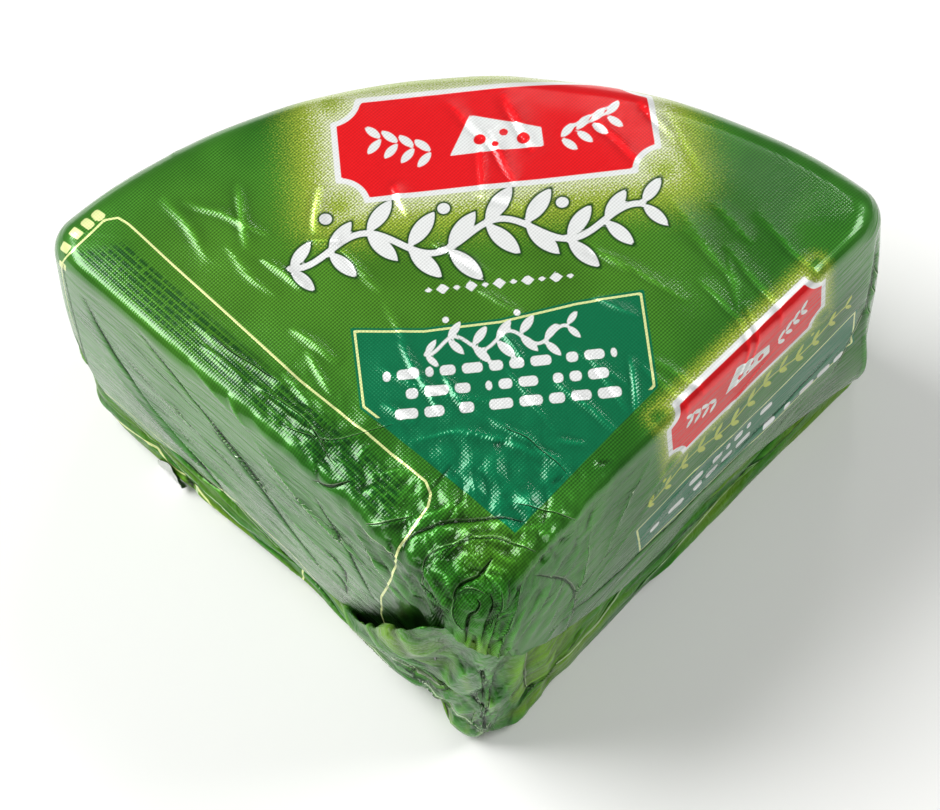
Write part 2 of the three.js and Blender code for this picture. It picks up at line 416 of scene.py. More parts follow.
TOP_CREASES = [  # slack folds, the first three by the left edge; the paths are on the sheet
    ([(-44, 48), (-31, 42), (-17, 47)], 0.9, 0.7, 0.6),
    ([(-50, 58), (-38, 50), (-31, 36)], 1.0, 0.8, 0.5),
    ([(-62, 74), (-52, 64), (-42, 58)], 0.9, 0.6, 0.4),
    ([(-74, 112), (-66, 101), (-62, 92)], 1.1, 0.45, 0.0),
    ([(-58, 97), (-52, 88), (-45, 82)], 1.0, 0.4, 0.0),
    ([(52, 97), (58, 90), (65, 80)], 1.0, 0.45, 0.0),
    ([(62, 92), (69, 81), (78, 68)], 1.0, 0.5, 0.0),
    ([(70, 101), (79, 88), (88, 79)], 1.0, 0.45, 0.0),
    ([(40, 60), (48, 53), (55, 44)], 0.9, 0.4, 0.0),
    ([(4, 48), (16, 40), (24, 31)], 0.9, 0.5, 0.4),
    ([(-22, 62), (-8, 54), (6, 52)], 0.8, 0.4, 0.0),
    ([(-14, 42), (2, 45), (18, 36)], 0.8, 0.5, 0.0),
]


def on_walls(sign, creases):
    """Creases of the left (-1) or right (1) wall, with their paths on the sheet laid flat."""
    return [([on_wall(sign, far, z) for far, z in path], *rest) for path, *rest in creases]


LONG_CREASES = on_walls(-1, LEFT_WALL_CREASES) + on_walls(1, RIGHT_WALL_CREASES) + TOP_CREASES
print("Creases placed by hand:", len(SWIRL_CREASES) + len(LONG_CREASES))


# %% Short creases between the long ones
def curved(path):
    """The same path with its corners cut off twice, so that it bends smoothly."""
    path = np.asarray(path, float)
    for _ in range(2):
        first, second = 0.75 * path[:-1] + 0.25 * path[1:], 0.25 * path[:-1] + 0.75 * path[1:]
        path = np.concatenate([path[:1], np.stack([first, second], 1).reshape(-1, 2), path[-1:]])
    return path


def short_crease(middle, half_length, heading):
    half = half_length * np.array([math.cos(heading), math.sin(heading)])
    return [np.asarray(middle) - half, middle, np.asarray(middle) + half]


def wall_streaks(draw):
    """Long faint creases that slant down the side walls towards the point."""
    creases = []
    for sign, count in ((-1, 36), (1, 24)):
        for _ in range(count):
            far, z = draw.uniform(34, 134), draw.uniform(26, 80)
            length, fall = draw.uniform(10, 42), draw.uniform(0.15, 0.55)
            end = on_wall(sign, far - length * 0.9, max(z - fall * length, 20))
            creases.append(([on_wall(sign, far, z), end], draw.uniform(0.6, 1.0), draw.uniform(-0.35, 0.35),
                            draw.uniform(0.0, 0.45)))
    return creases


def top_glints(draw):
    """Short spindles on the top; each tilts the foil just enough to catch a lamp."""
    creases = []
    for _ in range(46):
        middle = np.array([draw.uniform(-74, 74), draw.uniform(48, 134)])
        heading = math.radians(draw.normal(-52, 16) if middle[0] > 0 else draw.normal(-62, 20))
        creases.append((short_crease(middle, draw.uniform(4, 13), heading), draw.uniform(0.6, 1.0),
                        draw.uniform(0.25, 0.8), 0.0))
    return creases


def gathers_round_swirl(draw):
    creases = []
    for _ in range(150):
        reach, turn = draw.gamma(2.4, 8.0), math.radians(draw.uniform(-60, 215))
        middle = SWIRL_AT + reach * np.array([math.cos(turn), math.sin(turn)])
        heading = turn + math.pi / 2 + draw.normal(0.25, 0.5)
        creases.append((short_crease(middle, draw.uniform(1.5, 6.0), heading), draw.uniform(0.4, 0.8),
                        draw.uniform(-0.7, 0.7), 0.0))
    return creases


def rind_pleats(draw):
    """Pleats that run down the curved wall. It faces away, so they are guessed."""
    creases = []
    for turn in np.arange(-43, 44, 4.2) + draw.uniform(-1.2, 1.2, 21):
        top, foot = draw.uniform(50, 84), draw.uniform(22, 34)
        slant = draw.uniform(-3, 3)
        path = [on_rind(turn, top), on_rind(turn + slant / 2, (top + foot) / 2), on_rind(turn + slant, foot)]
        creases.append((path, draw.uniform(0.8, 1.4), draw.uniform(0.4, 0.9), draw.uniform(0.2, 0.8)))
    return creases


crease_draw = np.random.default_rng(21)
SHEET_CREASES = SWIRL_CREASES + LONG_CREASES
for more in (wall_streaks, top_glints, gathers_round_swirl, rind_pleats):
    SHEET_CREASES = SHEET_CREASES + more(crease_draw)
print("Creases in the sheet:", len(SHEET_CREASES))

# %% [markdown]
# ## Turning a grid of places into foil
# A layer is a grid: columns round the block and rows down it. Its points are moved along their
# own normals by the relief, which keeps the creases in real geometry. Everything that the paint
# needs is stored on the vertices as named attributes, so no image is used.

# %% Normals, neighbours and faces of a grid
def grid_normals(points):
    """Outward normals of a grid (rows, columns, 3) that closes round its columns."""
    across = np.roll(points, -1, 1) - np.roll(points, 1, 1)
    up = np.gradient(points, axis=0)
    normal = np.cross(across, up)
    return normal / np.maximum(np.linalg.norm(normal, axis=2, keepdims=True), 1e-9)


def stands_above(height, reach=3):
    """How far each point of a grid stands above the mean of its neighbours."""
    rows = len(height)
    padded = np.pad(height, ((reach, reach), (0, 0)), "edge")
    near = [np.roll(height, step, 1) for step in range(-reach, reach + 1)]
    near += [padded[reach + step:reach + step + rows] for step in range(-reach, reach + 1)]
    return height - np.mean(near, 0)


def grid_faces(rows, columns, closed=True):
    row, column = np.mgrid[0:rows - 1, 0:columns if closed else columns - 1]
    beside = (column + 1) % columns
    here, right = row * columns + column, row * columns + beside
    return np.stack([here, right, right + columns, here + columns], 2).reshape(-1, 4)


# %% A piece of foil with its attributes
def make_piece(name, points, faces, material, fields=None, normals=None):
    """A smooth mesh from points in millimetres, given from the tip, and its faces."""
    placed = (points + [0, TIP_Y, 0]) * MM
    mesh = bpy.data.meshes.new(name)
    mesh.from_pydata(placed.tolist(), [], [list(map(int, face)) for face in faces])
    mesh.polygons.foreach_set("use_smooth", np.ones(len(mesh.polygons), bool))
    for field, values in (fields or {}).items():
        if values.ndim == 1:
            mesh.attributes.new(field, "FLOAT", "POINT").data.foreach_set("value", values.astype(np.float32))
        else:
            flat = np.concatenate([values, np.zeros((len(values), 1))], 1)
            mesh.attributes.new(field, "FLOAT_VECTOR", "POINT").data.foreach_set(
                "vector", flat.astype(np.float32).ravel())
    mesh.materials.append(material)
    mesh.update()
    if normals is not None:
        mesh.normals_split_custom_set_from_vertices(normals.tolist())
    piece = bpy.data.objects.new(name, mesh)
    bpy.context.scene.collection.objects.link(piece)
    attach(piece, "root")
    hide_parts("wrapped_wedge")
    print(name, "has", sum(len(face) - 2 for face in faces), "triangles")
    return piece


# %% [markdown]
# ## The print
# The print is flat fields of ink: a red plaque with a white edge in a pale glow, a white leaf
# garland, a dark green panel that ends in a point, rows of small dashes, and a pale yellow line
# round a block of fine print. Each field is kept as a signed distance in millimetres: below
# zero is inside. A distance blends evenly between vertices, so its edge stays crisp in the render
# even where the mesh is coarser than the ink's edge. All motifs are plain ornament.

# %% Distances to plain shapes
NOWHERE = 99.0  # the distance that stands for a motif which isn't printed here


def box_gap(at, half, corner=0.0):
    beyond = np.abs(at) - (np.asarray(half) - corner)
    return np.linalg.norm(np.maximum(beyond, 0), axis=1) + np.minimum(beyond.max(1), 0) - corner


def leaf_gap(at, length, width):
    """A pointed leaf along x, the overlap of two circles."""
    radius = (length ** 2 + width ** 2) / (4 * width)
    return np.hypot(at[:, 0], np.abs(at[:, 1]) + radius - width / 2) - radius


def path_gap(at, path):
    best = np.full(len(at), np.inf)
    for start, end in zip(np.asarray(path, float), np.asarray(path, float)[1:]):
        ahead = end - start
        share = np.clip((at - start) @ ahead / (ahead @ ahead), 0, 1)
        best = np.minimum(best, np.linalg.norm(at - start - share[:, None] * ahead, axis=1))
    return best


def polygon_gap(at, corners):
    corners = np.asarray(corners, float)
    inside = np.zeros(len(at), bool)
    for start, end in zip(corners, np.roll(corners, -1, 0)):
        crosses = (start[1] > at[:, 1]) != (end[1] > at[:, 1])
        rise = end[1] - start[1] if end[1] != start[1] else 1e-9
        inside ^= crosses & (at[:, 0] < start[0] + (at[:, 1] - start[1]) / rise * (end[0] - start[0]))
    gap = path_gap(at, np.concatenate([corners, corners[:1]]))
    return np.where(inside, -gap, gap)


def turned(at, origin, degrees):
    angle = math.radians(degrees)
    ahead = np.array([math.cos(angle), math.sin(angle)])
    moved = at - np.asarray(origin, float)
    return np.stack([moved @ ahead, moved @ np.array([-ahead[1], ahead[0]])], 1)


# %% The plaque and its emblem
def plaque_gap(at, half):
    """A plaque with hollowed corners."""
    bite = 0.42 * half[1]
    gap = box_gap(at, half)
    for x in (-half[0], half[0]):
        for y in (-half[1], half[1]):
            gap = np.maximum(gap, bite - np.linalg.norm(at - [x, y], axis=1))
    return gap


def emblem_gap(at, size):
    """A slice of cheese with round holes between two sprigs."""
    slice_shape = polygon_gap(at, [(-1.05 * size, -0.42 * size), (1.05 * size, -0.42 * size),
                                   (1.05 * size, 0.1 * size), (-0.5 * size, 0.62 * size)])
    for x, y, hole in ((-0.35, -0.08, 0.14), (0.2, 0.06, 0.1), (0.62, -0.16, 0.15), (-0.02, -0.26, 0.08)):
        slice_shape = np.maximum(slice_shape, hole * size - np.linalg.norm(at - [x * size, y * size], axis=1))
    gap = slice_shape
    for sign in (-1, 1):
        for k in range(4):
            stem = [sign * (1.45 + 0.36 * k) * size, (-0.25 + 0.16 * k) * size]
            for lift in (-1, 1):
                leaf = turned(at, stem, 90 - sign * 90 + sign * lift * 48)
                gap = np.minimum(gap, leaf_gap(leaf - [0.26 * size, 0], 0.5 * size, 0.2 * size))
    return gap


# %% Garlands and rows of dashes
def garland_gap(at, half_length, leaf, count):
    """Leaves in pairs along a waving stem."""
    def stem(x):
        return 0.32 * leaf * np.sin(x / half_length * 2.6 * np.pi)

    xs = np.linspace(-half_length, half_length, 60)
    gap = path_gap(at, np.stack([xs, stem(xs)], 1)) - 0.07 * leaf
    for k, x in enumerate(np.linspace(-half_length, half_length, count)):
        grown = leaf * (0.72 + 0.28 * math.cos(x / half_length * math.pi / 2))
        for lift in (-1, 1):
            blade = turned(at, [x, stem(x)], lift * 52)
            gap = np.minimum(gap, leaf_gap(blade - [0.52 * grown, 0], grown, 0.36 * grown))
        if k % 3 == 1:
            berry = np.linalg.norm(at - [x, stem(x) + 0.95 * grown], axis=1) - 0.13 * leaf
            gap = np.minimum(gap, berry)
    return gap


def dash_gap(at, rows, pitch, tall, seed):
    """Rows of short rounded dashes of uneven length, as a stand-in for small print."""
    draw = np.random.default_rng(seed)
    gap = np.full(len(at), NOWHERE)
    for row, (low, high) in enumerate(rows):
        x, y = low, -row * pitch
        near = np.flatnonzero(np.abs(at[:, 1] - y) < pitch)
        while x < high:
            wide = draw.uniform(1.3, 5.5) * tall / 2.4
            here = box_gap(at[near] - [x + wide / 2, y], [wide / 2, tall / 2], 0.4 * tall)
            gap[near] = np.minimum(gap[near], here)
            x += wide + (0.55 if draw.random() < 0.75 else 1.3) * tall
    return gap


# %% Where the motifs lie on the sheet
PRINT_TILT = 4.6
PLAQUE_AT = np.array([8.0, 125.0])
GARLAND_AT = np.array([0.5, 96.5])
BEADS_AT = np.array([8.0, 83.2])
PANEL_AT = np.array([8.5, 66.0])
PANEL_CORNERS = [(-35.5, 9.5), (-18, 7.2), (0, 7.6), (18, 10.2), (34.8, 11.2), (34.8, -14.5), (-2.4, -46.8),
                 (-35, -12)]
BAND_CORNERS = [(-42, 8), (-20, 9.5), (6, 7.5), (40, 11), (41, -8), (12, -10), (-40, -9.5)]
SIDE_TURN = math.degrees(math.pi / 2 - HALF_ANGLE)
# the pale line round the block of fine print; its last corners lie hidden under the fold
RULE_CORNERS = (
    [on_wall(-1, far, z) for far, z in ((28, 14), (31, 40), (30, 52), (26, 68), (24, 82))]
    + [(-19.9, 14.2), (-14.5, 20.0), (-10.0, 26.2), (-9.3, 29.3), (-10.4, 32.2), (-39.5, 59.2),
       (-81.6, 104.0), (-84.2, 106.0), (-87.6, 105.6), (-90.9, 102.0), (-95.2, 97.6)]
    + [on_wall(-1, far, z) for far, z in (
        (142, 70), (143.5, 60), (145, 30), (134, 21.5), (128, 22), (113, 22.5), (83, 26), (76, 24), (64, 22),
        (58, 18), (52, 2))])
FINE_PRINT_BLOCK = [(-13, 33), (-40.5, 59), (-82, 101.5), (-87, 100), on_wall(-1, 140, 86),
                    on_wall(-1, 26, 86)]
TABS = [(-89.2, 107.2), (-91.8, 105.0), (-94.6, 102.6), (-97.6, 99.2), (-100.2, 94.6)]
WARM_SPOTS = [  # place on the sheet, reach, how much warmer the green is there; below 0 it is darker
    ((-3, -22), 11, 1.0), ((12, -34), 16, 0.5), ((2, 12), 12, 0.4), ((-15, 8), 10, -0.8), ((4, 0), 9, -0.7),
    ((-30, 18), 14, -0.5)]
print("Corners of the pale line:", len(RULE_CORNERS))


# %% The print on the top
def lay(fields, name, gap):
    """Adds a shape to a field of ink."""
    fields[name] = np.minimum(fields.get(name, np.inf), gap)


def top_print(sheet):
    on_plaque = turned(sheet, PLAQUE_AT, PRINT_TILT)
    on_panel = turned(sheet, PANEL_AT, PRINT_TILT)
    fields = {"trimmed": on_panel[:, 1] + 15.0}
    lay(fields, "plaque", plaque_gap(on_plaque, (40, 15.5)))
    lay(fields, "glow_gap", fields["plaque"])
    lay(fields, "emblem", emblem_gap(on_plaque, 11.0))
    lay(fields, "garland", garland_gap(turned(sheet, GARLAND_AT, PRINT_TILT), 43.0, 12.0, 10))
    lay(fields, "panel", polygon_gap(on_panel, PANEL_CORNERS))
    lay(fields, "white_marks", dash_gap(on_panel - [0, -4.6], [(-29, 27), (-24, 22), (-27, 25)], 5.1, 2.7, 3))
    lay(fields, "white_marks", garland_gap(on_panel - [-1.5, 2.0], 17.0, 6.4, 7))
    for k, x in enumerate(np.linspace(-17, 17, 11)):
        bead = turned(sheet, BEADS_AT, PRINT_TILT) - [x, 0]
        lay(fields, "white_marks", np.abs(bead).sum(1) - (1.6 if k % 2 else 0.9))
    return fields


# %% Its repeats on the right wall and on the curved wall
def side_print(fields, sheet):
    """The next repeat of the print, which runs down the right wall."""
    side = turned(sheet, on_wall(1, 92, 77), SIDE_TURN)
    band = turned(sheet, on_wall(1, 93, 43), SIDE_TURN)
    plaque = plaque_gap(side - [0, 0.5], (28, 11.0))
    band_gap = polygon_gap(band, BAND_CORNERS)
    fields["trimmed"] = np.where(band_gap < fields["panel"], 9.0, fields["trimmed"])
    lay(fields, "plaque", plaque)
    lay(fields, "glow_gap", 3.0 * plaque + 2.5)
    lay(fields, "emblem", emblem_gap(side - [0, 0.5], 7.5))
    lay(fields, "thin_garland", garland_gap(side - [0, -17.5], 36, 5.0, 13))
    lay(fields, "panel", band_gap)
    lay(fields, "white_marks", dash_gap(band - [0, 3.4], [(-22, 8), (-36, -2), (6, 34)], 5.2, 2.6, 5))


def back_print(fields, sheet):
    """Two more repeats on the curved wall, turned so that they stand upright there."""
    for turn in (-22, 24):
        behind = turned(sheet, on_rind(turn, 58), -turn + 180)
        plaque = plaque_gap(behind, (30, 12))
        lay(fields, "plaque", plaque)
        lay(fields, "glow_gap", 2.4 * plaque + 2.0)
        lay(fields, "emblem", emblem_gap(behind, 8))
        lay(fields, "thin_garland", garland_gap(behind - [0, -18], 34, 6.0, 11))


# %% The print by the left edge, and every field together
def edge_print(fields, sheet):
    fields["rule"] = polygon_gap(sheet, RULE_CORNERS)
    fields["fine_print"] = polygon_gap(sheet, FINE_PRINT_BLOCK)
    for tab in TABS:
        lay(fields, "tabs", box_gap(turned(sheet, tab, -42), (1.75, 1.2), 0.2))


def warm_patches(sheet):
    """Where the green is warmer (above 0) or darker (below 0)."""
    warm = np.zeros(len(sheet))
    for spot, reach, share in WARM_SPOTS:
        warm += share * np.exp(-np.linalg.norm(sheet - spot, axis=1) ** 2 / reach ** 2)
    return warm + 0.35 * np.exp(-(path_gap(sheet, [(-60, 90), (-20, 84), (30, 92)]) / 30) ** 2)


def print_fields(sheet):
    """Every field of ink, as a signed distance in millimetres at each point of the sheet."""
    fields = top_print(sheet)
    side_print(fields, sheet)
    back_print(fields, sheet)
    edge_print(fields, sheet)
    fields["warm"] = warm_patches(sheet)
    return fields


print("Fields of the print:", ", ".join(print_fields(np.zeros((1, 2)))))

# %% [markdown]
# ## Foil, ink and varnish
# The wrap is aluminium foil about 0.02 mm thick, printed with see-through inks and varnished, then
# rolled with a fine linen emboss. Ink lets some of the metal's shine through, so the shader is part
# metal, part paint, under a clear coat that stands for the varnish. Seen steeply it shows its
# colour; seen flat, as on the walls, the coat mirrors the pale surroundings and the green turns
# grey. A sharp crest loses its ink and shows a thin line of metal, painted pale, so it is also a
# painted highlight; the bottom of a crease is painted dark, as painted shade.
# The reverse of the foil is bare, so it is plain metal.

# %% Colour and node helpers
def linear(hex_colour):
    """An sRGB hex colour as linear light, with alpha."""
    parts = [int(hex_colour[i:i + 2], 16) / 255 for i in (1, 3, 5)]
    return [p / 12.92 if p <= 0.04045 else ((p + 0.055) / 1.055) ** 2.4 for p in parts] + [1.0]


def add(tree, kind, inputs=(), **settings):
    """Adds a node with its settings; each input is a value or another node's output."""
    node = tree.nodes.new("ShaderNode" + kind)
    for name, value in settings.items():
        setattr(node, name, value)
    for socket, value in dict(inputs).items():
        if isinstance(value, bpy.types.NodeSocket):
            tree.links.new(value, node.inputs[socket])
        else:
            node.inputs[socket].default_value = value
    return node


# %% Inks
LEAF_GREEN = linear("#3b8424")
DEEP_GREEN = linear("#1f6414")
WARM_GREEN = linear("#6f9a18")
GLOW_YELLOW = linear("#c9d64a")
GLOW_WHITE = linear("#e9eed2")
PLAQUE_RED = linear("#f0141c")
PANEL_GREEN = linear("#007549")
PAPER_WHITE = linear("#f4f6f4")
RULE_YELLOW = linear("#e9f3a6")
FINE_GREEN = linear("#0f4a16")
SHADOW_GREEN = linear("#17480f")
# painted shade: the colour painted deep in the pocket beside the point
POCKET_PAINTED_SHADE = linear("#081a04")
# bare metal on rubbed crests, and a painted highlight there as well
WORN_METAL_AND_HIGHLIGHT = linear("#dce8c8")
# painted shade: the colour of the line in the valley of a crease
CREASE_PAINTED_SHADE = linear("#0b2409")
INK_EDGE = 0.1  # half the softness of an ink's edge, in mm


def inside_field(tree, field, grow=0.0, soft=INK_EDGE):
    """1 inside a field of ink grown by so many millimetres, 0 outside it."""
    gap = add(tree, "Attribute", attribute_name=field).outputs["Fac"]
    share = add(tree, "MapRange", {0: gap, 1: grow + soft, 2: grow - soft, 3: 0.0, 4: 1.0})
    return share.outputs[0]


def on_line(tree, field, middle, half):
    """1 where a signed distance is within half a line's width of the line's middle."""
    gap = add(tree, "Attribute", attribute_name=field).outputs["Fac"]
    off = add(tree, "Math", {0: gap, 1: middle, 2: half}, operation="COMPARE")
    return off.outputs[0]


def print_inks(tree, ink, layers):
    """Prints more ink over what is there, layer by layer; each is a colour and where it goes."""
    for colour, where in layers:
        ink = add(tree, "Mix", {0: where, 6: ink, 7: colour}, data_type="RGBA").outputs[2]
    return ink


print("Half of an ink's soft edge:", INK_EDGE, "mm")


# %% [markdown]
# ## The printed side
# The linen emboss is two families of fine lines that cross, each along one edge of the wedge, about
# 0.7 mm apart. The print is screened, so the green is broken by lighter and darker threads of that
# pitch. Their waves are added and not multiplied, because a product of two slanting waves looks like
# a chequerboard that stands straight. Ridges of the relief are painted lighter and dents darker, as
# painted light and shade that makes the crumples look crisp, and the layer is painted dark as shade
# where it runs down into the pocket.

# %% Scales of the print and the relief
THREAD_PITCH = 0.7  # from one thread to the next, in mm: about as fine as the render can show
PRINT_ROW = 1.65  # from one row of fine print to the next, in mm, a little coarser than real so it shows
LINE_HALF = 0.3  # half the width of the printed pale lines
STREAKS = [(-9, 0.8, 0.9), (-17, 1.8, 1.5)]  # turn in degrees, size, and depth in mm
WEAVE_REACH = 0.8  # the weave's wave at which its shading is strongest
RIDGE_REACH = 0.22  # how far a crest stands above its neighbours where its painted light is strongest, in mm
CREASE_LINE = 0.19  # half the width of a dark line in a pressed crease, in mm
CREASE_GROOVE = 0.5  # half the width of the groove round that line, in mm
CREASE_DEPTH = 0.3  # in mm
EMBOSS_DEPTH = 0.02  # in mm
print("Threads per centimetre:", round(10 / THREAD_PITCH, 1))


# %% The linen weave
def thread_waves(tree, sheet, degrees, share):
    """Lines across the sheet at an angle, one thread apart, between minus and plus that share."""
    turn = math.radians(degrees)
    turns_per_mm = 2 * math.pi / THREAD_PITCH
    across = (math.cos(turn) * turns_per_mm, math.sin(turn) * turns_per_mm, 0)
    along = add(tree, "VectorMath", {0: sheet, 1: across}, operation="DOT_PRODUCT")
    wave = add(tree, "Math", {0: along.outputs["Value"]}, operation="SINE")
    return add(tree, "Math", {0: wave.outputs[0], 1: share}, operation="MULTIPLY").outputs[0]


def linen_weave(tree, sheet):
    """The two families of threads together, as strong as the emboss is left at each place."""
    one, other = thread_waves(tree, sheet, 43, 0.34), thread_waves(tree, sheet, -46, 0.66)
    both = add(tree, "Math", {0: one, 1: other})
    emboss = add(tree, "Attribute", attribute_name="emboss").outputs["Fac"]
    return add(tree, "Math", {0: both.outputs[0], 1: emboss}, operation="MULTIPLY").outputs[0]


def shaded_by(tree, ink, relief, reach, low, high):
    """Ink made darker where the given field is low and lighter where it is high; for the relief this is painted
    light and shade.
    """
    shade = add(tree, "MapRange", {0: relief, 1: -reach, 2: reach, 3: low, 4: high}).outputs[0]
    return add(tree, "VectorMath", {0: ink, "Scale": shade}, operation="SCALE").outputs[0]


# %% The green ground and the glow
def green_ground(tree, sheet):
    """Two greens in soft patches, warmer or darker where the vertices say so."""
    patches = add(tree, "TexNoise", {"Vector": sheet, "Scale": 0.035, "Detail": 2.0}).outputs[0]
    share = add(tree, "MapRange", {0: patches, 1: 0.36, 2: 0.56, 3: 0.25, 4: 1.0}).outputs[0]
    warm = add(tree, "Attribute", attribute_name="warm").outputs["Fac"]
    warmer = add(tree, "Math", {0: warm, 1: 0.75}, operation="MULTIPLY", use_clamp=True).outputs[0]
    darker = add(tree, "Math", {0: warm, 1: -0.9}, operation="MULTIPLY", use_clamp=True).outputs[0]
    return print_inks(tree, DEEP_GREEN, [(LEAF_GREEN, share), (WARM_GREEN, warmer), (SHADOW_GREEN, darker)])


def glow_round_plaque(tree, sheet, ink):
    """Yellow further out, then a pale grain close to the plaque."""
    grain = add(tree, "TexNoise", {"Vector": sheet, "Scale": 2.2, "Detail": 1.0}).outputs[0]
    roughen = add(tree, "MapRange", {0: grain, 1: 0.3, 2: 0.7, 3: -4.0, 4: 4.0}).outputs[0]
    gap = add(tree, "Attribute", attribute_name="glow_gap").outputs["Fac"]
    rough_gap = add(tree, "Math", {0: gap, 1: roughen}, operation="ADD").outputs[0]
    layers = []
    for colour, far, near, most in ((GLOW_YELLOW, 17.0, 1.0, 0.72), (GLOW_WHITE, 5.5, 0.0, 0.75)):
        share = add(tree, "MapRange", {0: rough_gap, 1: far, 2: near, 3: 0.0, 4: most},
                    interpolation_type="SMOOTHSTEP")
        layers.append((colour, share.outputs[0]))
    return print_inks(tree, ink, layers)


# %% The block of fine print
DASH_HALF = 0.31  # half of a dash's height, as a share of its row
ROW_SHIFT = 7.3  # how far the noise moves from row to row, so that no two rows are alike
BLOCK_MARGIN = 2.0


def fine_rows(tree, sheet):
    """Rows of dark dashes along the left edge: where to print them."""
    rows = add(tree, "Mapping", {"Vector": sheet, "Rotation": (0, 0, -math.pi / 2 - HALF_ANGLE)})
    row = add(tree, "SeparateXYZ", {0: rows.outputs[0]})
    number = add(tree, "Math", {0: row.outputs["Y"], 1: PRINT_ROW}, operation="DIVIDE").outputs[0]
    between = add(tree, "Math", {0: number}, operation="FRACT").outputs[0]
    in_row = add(tree, "Math", {0: between, 1: 0.5, 2: DASH_HALF}, operation="COMPARE").outputs[0]
    whole = add(tree, "Math", {0: number}, operation="FLOOR").outputs[0]
    seed = add(tree, "Math", {0: whole, 1: ROW_SHIFT}, operation="MULTIPLY").outputs[0]
    place = add(tree, "CombineXYZ", {"X": row.outputs["X"], "Y": seed}).outputs[0]
    letters = add(tree, "TexNoise", {"Vector": place, "Scale": 1.5, "Detail": 2.0}).outputs[0]
    dashes = add(tree, "MapRange", {0: letters, 1: 0.38, 2: 0.48, 3: 0.0, 4: 0.85}).outputs[0]
    dashes = add(tree, "Math", {0: dashes, 1: in_row}, operation="MULTIPLY").outputs[0]
    block = inside_field(tree, "fine_print", -BLOCK_MARGIN, 0.8)
    return add(tree, "Math", {0: block, 1: dashes}, operation="MULTIPLY").outputs[0]


# %% [markdown]
# ## Lines along the creases
# A crease in printed foil shows as a dark line in its valley, painted here as shade, and, where the
# crest was rubbed, as a pale one of bare metal, which is painted pale and so is a painted highlight
# too. They could be drawn on a picture and wrapped round the block. Here each vertex knows its
# distance to the nearest crease instead, so the shader can draw lines that are much finer than the
# mesh and follow every bend of the relief.

# %% Painted crease shade, and worn lines with a painted highlight
CLOSE_TO_CREASE = (1.2, 1.8)  # the lines fade out between these distances from the path
WORN_HIGHLIGHT_LINE, WORN_HIGHLIGHT_HALF = 0.5, 0.11  # where the worn line with its painted highlight lies beside the crease, and half its width


def crease_fields(tree):
    """The distance to the nearest crease, and 1 where that crease is close by."""
    crease = add(tree, "Attribute", attribute_name="crease").outputs["Fac"]
    crease = add(tree, "Math", {0: crease}, operation="ABSOLUTE").outputs[0]
    gap = add(tree, "Attribute", attribute_name="crease_gap").outputs["Fac"]
    close, far = CLOSE_TO_CREASE
    near = add(tree, "MapRange", {0: gap, 1: far, 2: close, 3: 0.0, 4: 1.0}).outputs[0]
    return crease, near


# painted shade along the valley of each crease
def painted_crease_shade(tree, crease, near):
    line = add(tree, "MapRange", {0: crease, 1: CREASE_LINE + 0.1, 2: CREASE_LINE - 0.1, 3: 0.0, 4: 0.85})
    return add(tree, "Math", {0: line.outputs[0], 1: near}, operation="MULTIPLY").outputs[0]


def worn_and_highlight_lines(tree, near):
    """A sharp crest loses its ink, so a thin pale line of metal runs along one side of the crease; its pale
    colour is also a painted highlight.
    """
    line = on_line(tree, "crease", WORN_HIGHLIGHT_LINE, WORN_HIGHLIGHT_HALF)
    emboss = add(tree, "Attribute", attribute_name="emboss").outputs["Fac"]
    share = add(tree, "MapRange", {0: emboss, 1: 0.1, 2: 1.0, 3: 0.55, 4: 0.14}).outputs[0]
    line = add(tree, "Math", {0: line, 1: near}, operation="MULTIPLY").outputs[0]
    return add(tree, "Math", {0: line, 1: share}, operation="MULTIPLY").outputs[0]


# %% All inks, one over the other
def printed_colour(tree, sheet, weave, crease, near):
    ink = glow_round_plaque(tree, sheet, green_ground(tree, sheet))
    ink = print_inks(tree, ink, [
        (FINE_GREEN, fine_rows(tree, sheet)),
        (GLOW_YELLOW, inside_field(tree, "thin_garland"))])
    ink = shaded_by(tree, ink, weave, WEAVE_REACH, 0.58, 1.32)
    trim = add(tree, "Math", {0: on_line(tree, "panel", -0.9, LINE_HALF), 1: inside_field(tree, "trimmed")},
               operation="SUBTRACT", use_clamp=True).outputs[0]
    ink = print_inks(tree, ink, [
        (SHADOW_GREEN, inside_field(tree, "garland", 0.55, 0.3)),
        (PAPER_WHITE, inside_field(tree, "garland")),
        (PANEL_GREEN, inside_field(tree, "panel")),
        (RULE_YELLOW, trim),
        (PAPER_WHITE, inside_field(tree, "white_marks")),
        (PAPER_WHITE, inside_field(tree, "plaque")),
        (PLAQUE_RED, inside_field(tree, "plaque", -1.5)),
        (PAPER_WHITE, inside_field(tree, "emblem")),
        (RULE_YELLOW, inside_field(tree, "tabs")),
        (POCKET_PAINTED_SHADE, add(tree, "Attribute", attribute_name="in_pocket").outputs["Fac"]),
        (RULE_YELLOW, on_line(tree, "rule", 0.0, LINE_HALF)),
        (WORN_METAL_AND_HIGHLIGHT, worn_and_highlight_lines(tree, near)),
        (CREASE_PAINTED_SHADE, painted_crease_shade(tree, crease, near))])
    ink = shaded_by(tree, ink, weave, WEAVE_REACH, 0.86, 1.08)
    # painted light and shade: crests of the relief are coloured lighter, hollows darker
    ridge = add(tree, "Attribute", attribute_name="ridge").outputs["Fac"]
    return shaded_by(tree, ink, ridge, RIDGE_REACH, 0.4, 1.55)


# %% [markdown]
# ## Relief that is too fine for the mesh
# The emboss, the finest crushing and the thin streaks where the foil was pulled tight are a
# fraction of a millimetre deep. Real geometry for them would take many millions of faces, so they
# are bumps, which bend only the direction that the surface seems to face. Each bump takes the one
# before as its normal, so they add up.

# %% Fine crushing and the grooves of creases
FACETS_PER_METRE = 210.0  # the largest facets are about 5 mm, and each octave halves them
BENDS_PER_METRE = 140.0
BEND = 6.0 * MM  # how far the facets are pushed about, so that they don't look regular
RIDGE_GAIN = 8.0  # the noise's ridges are only about an eighth high


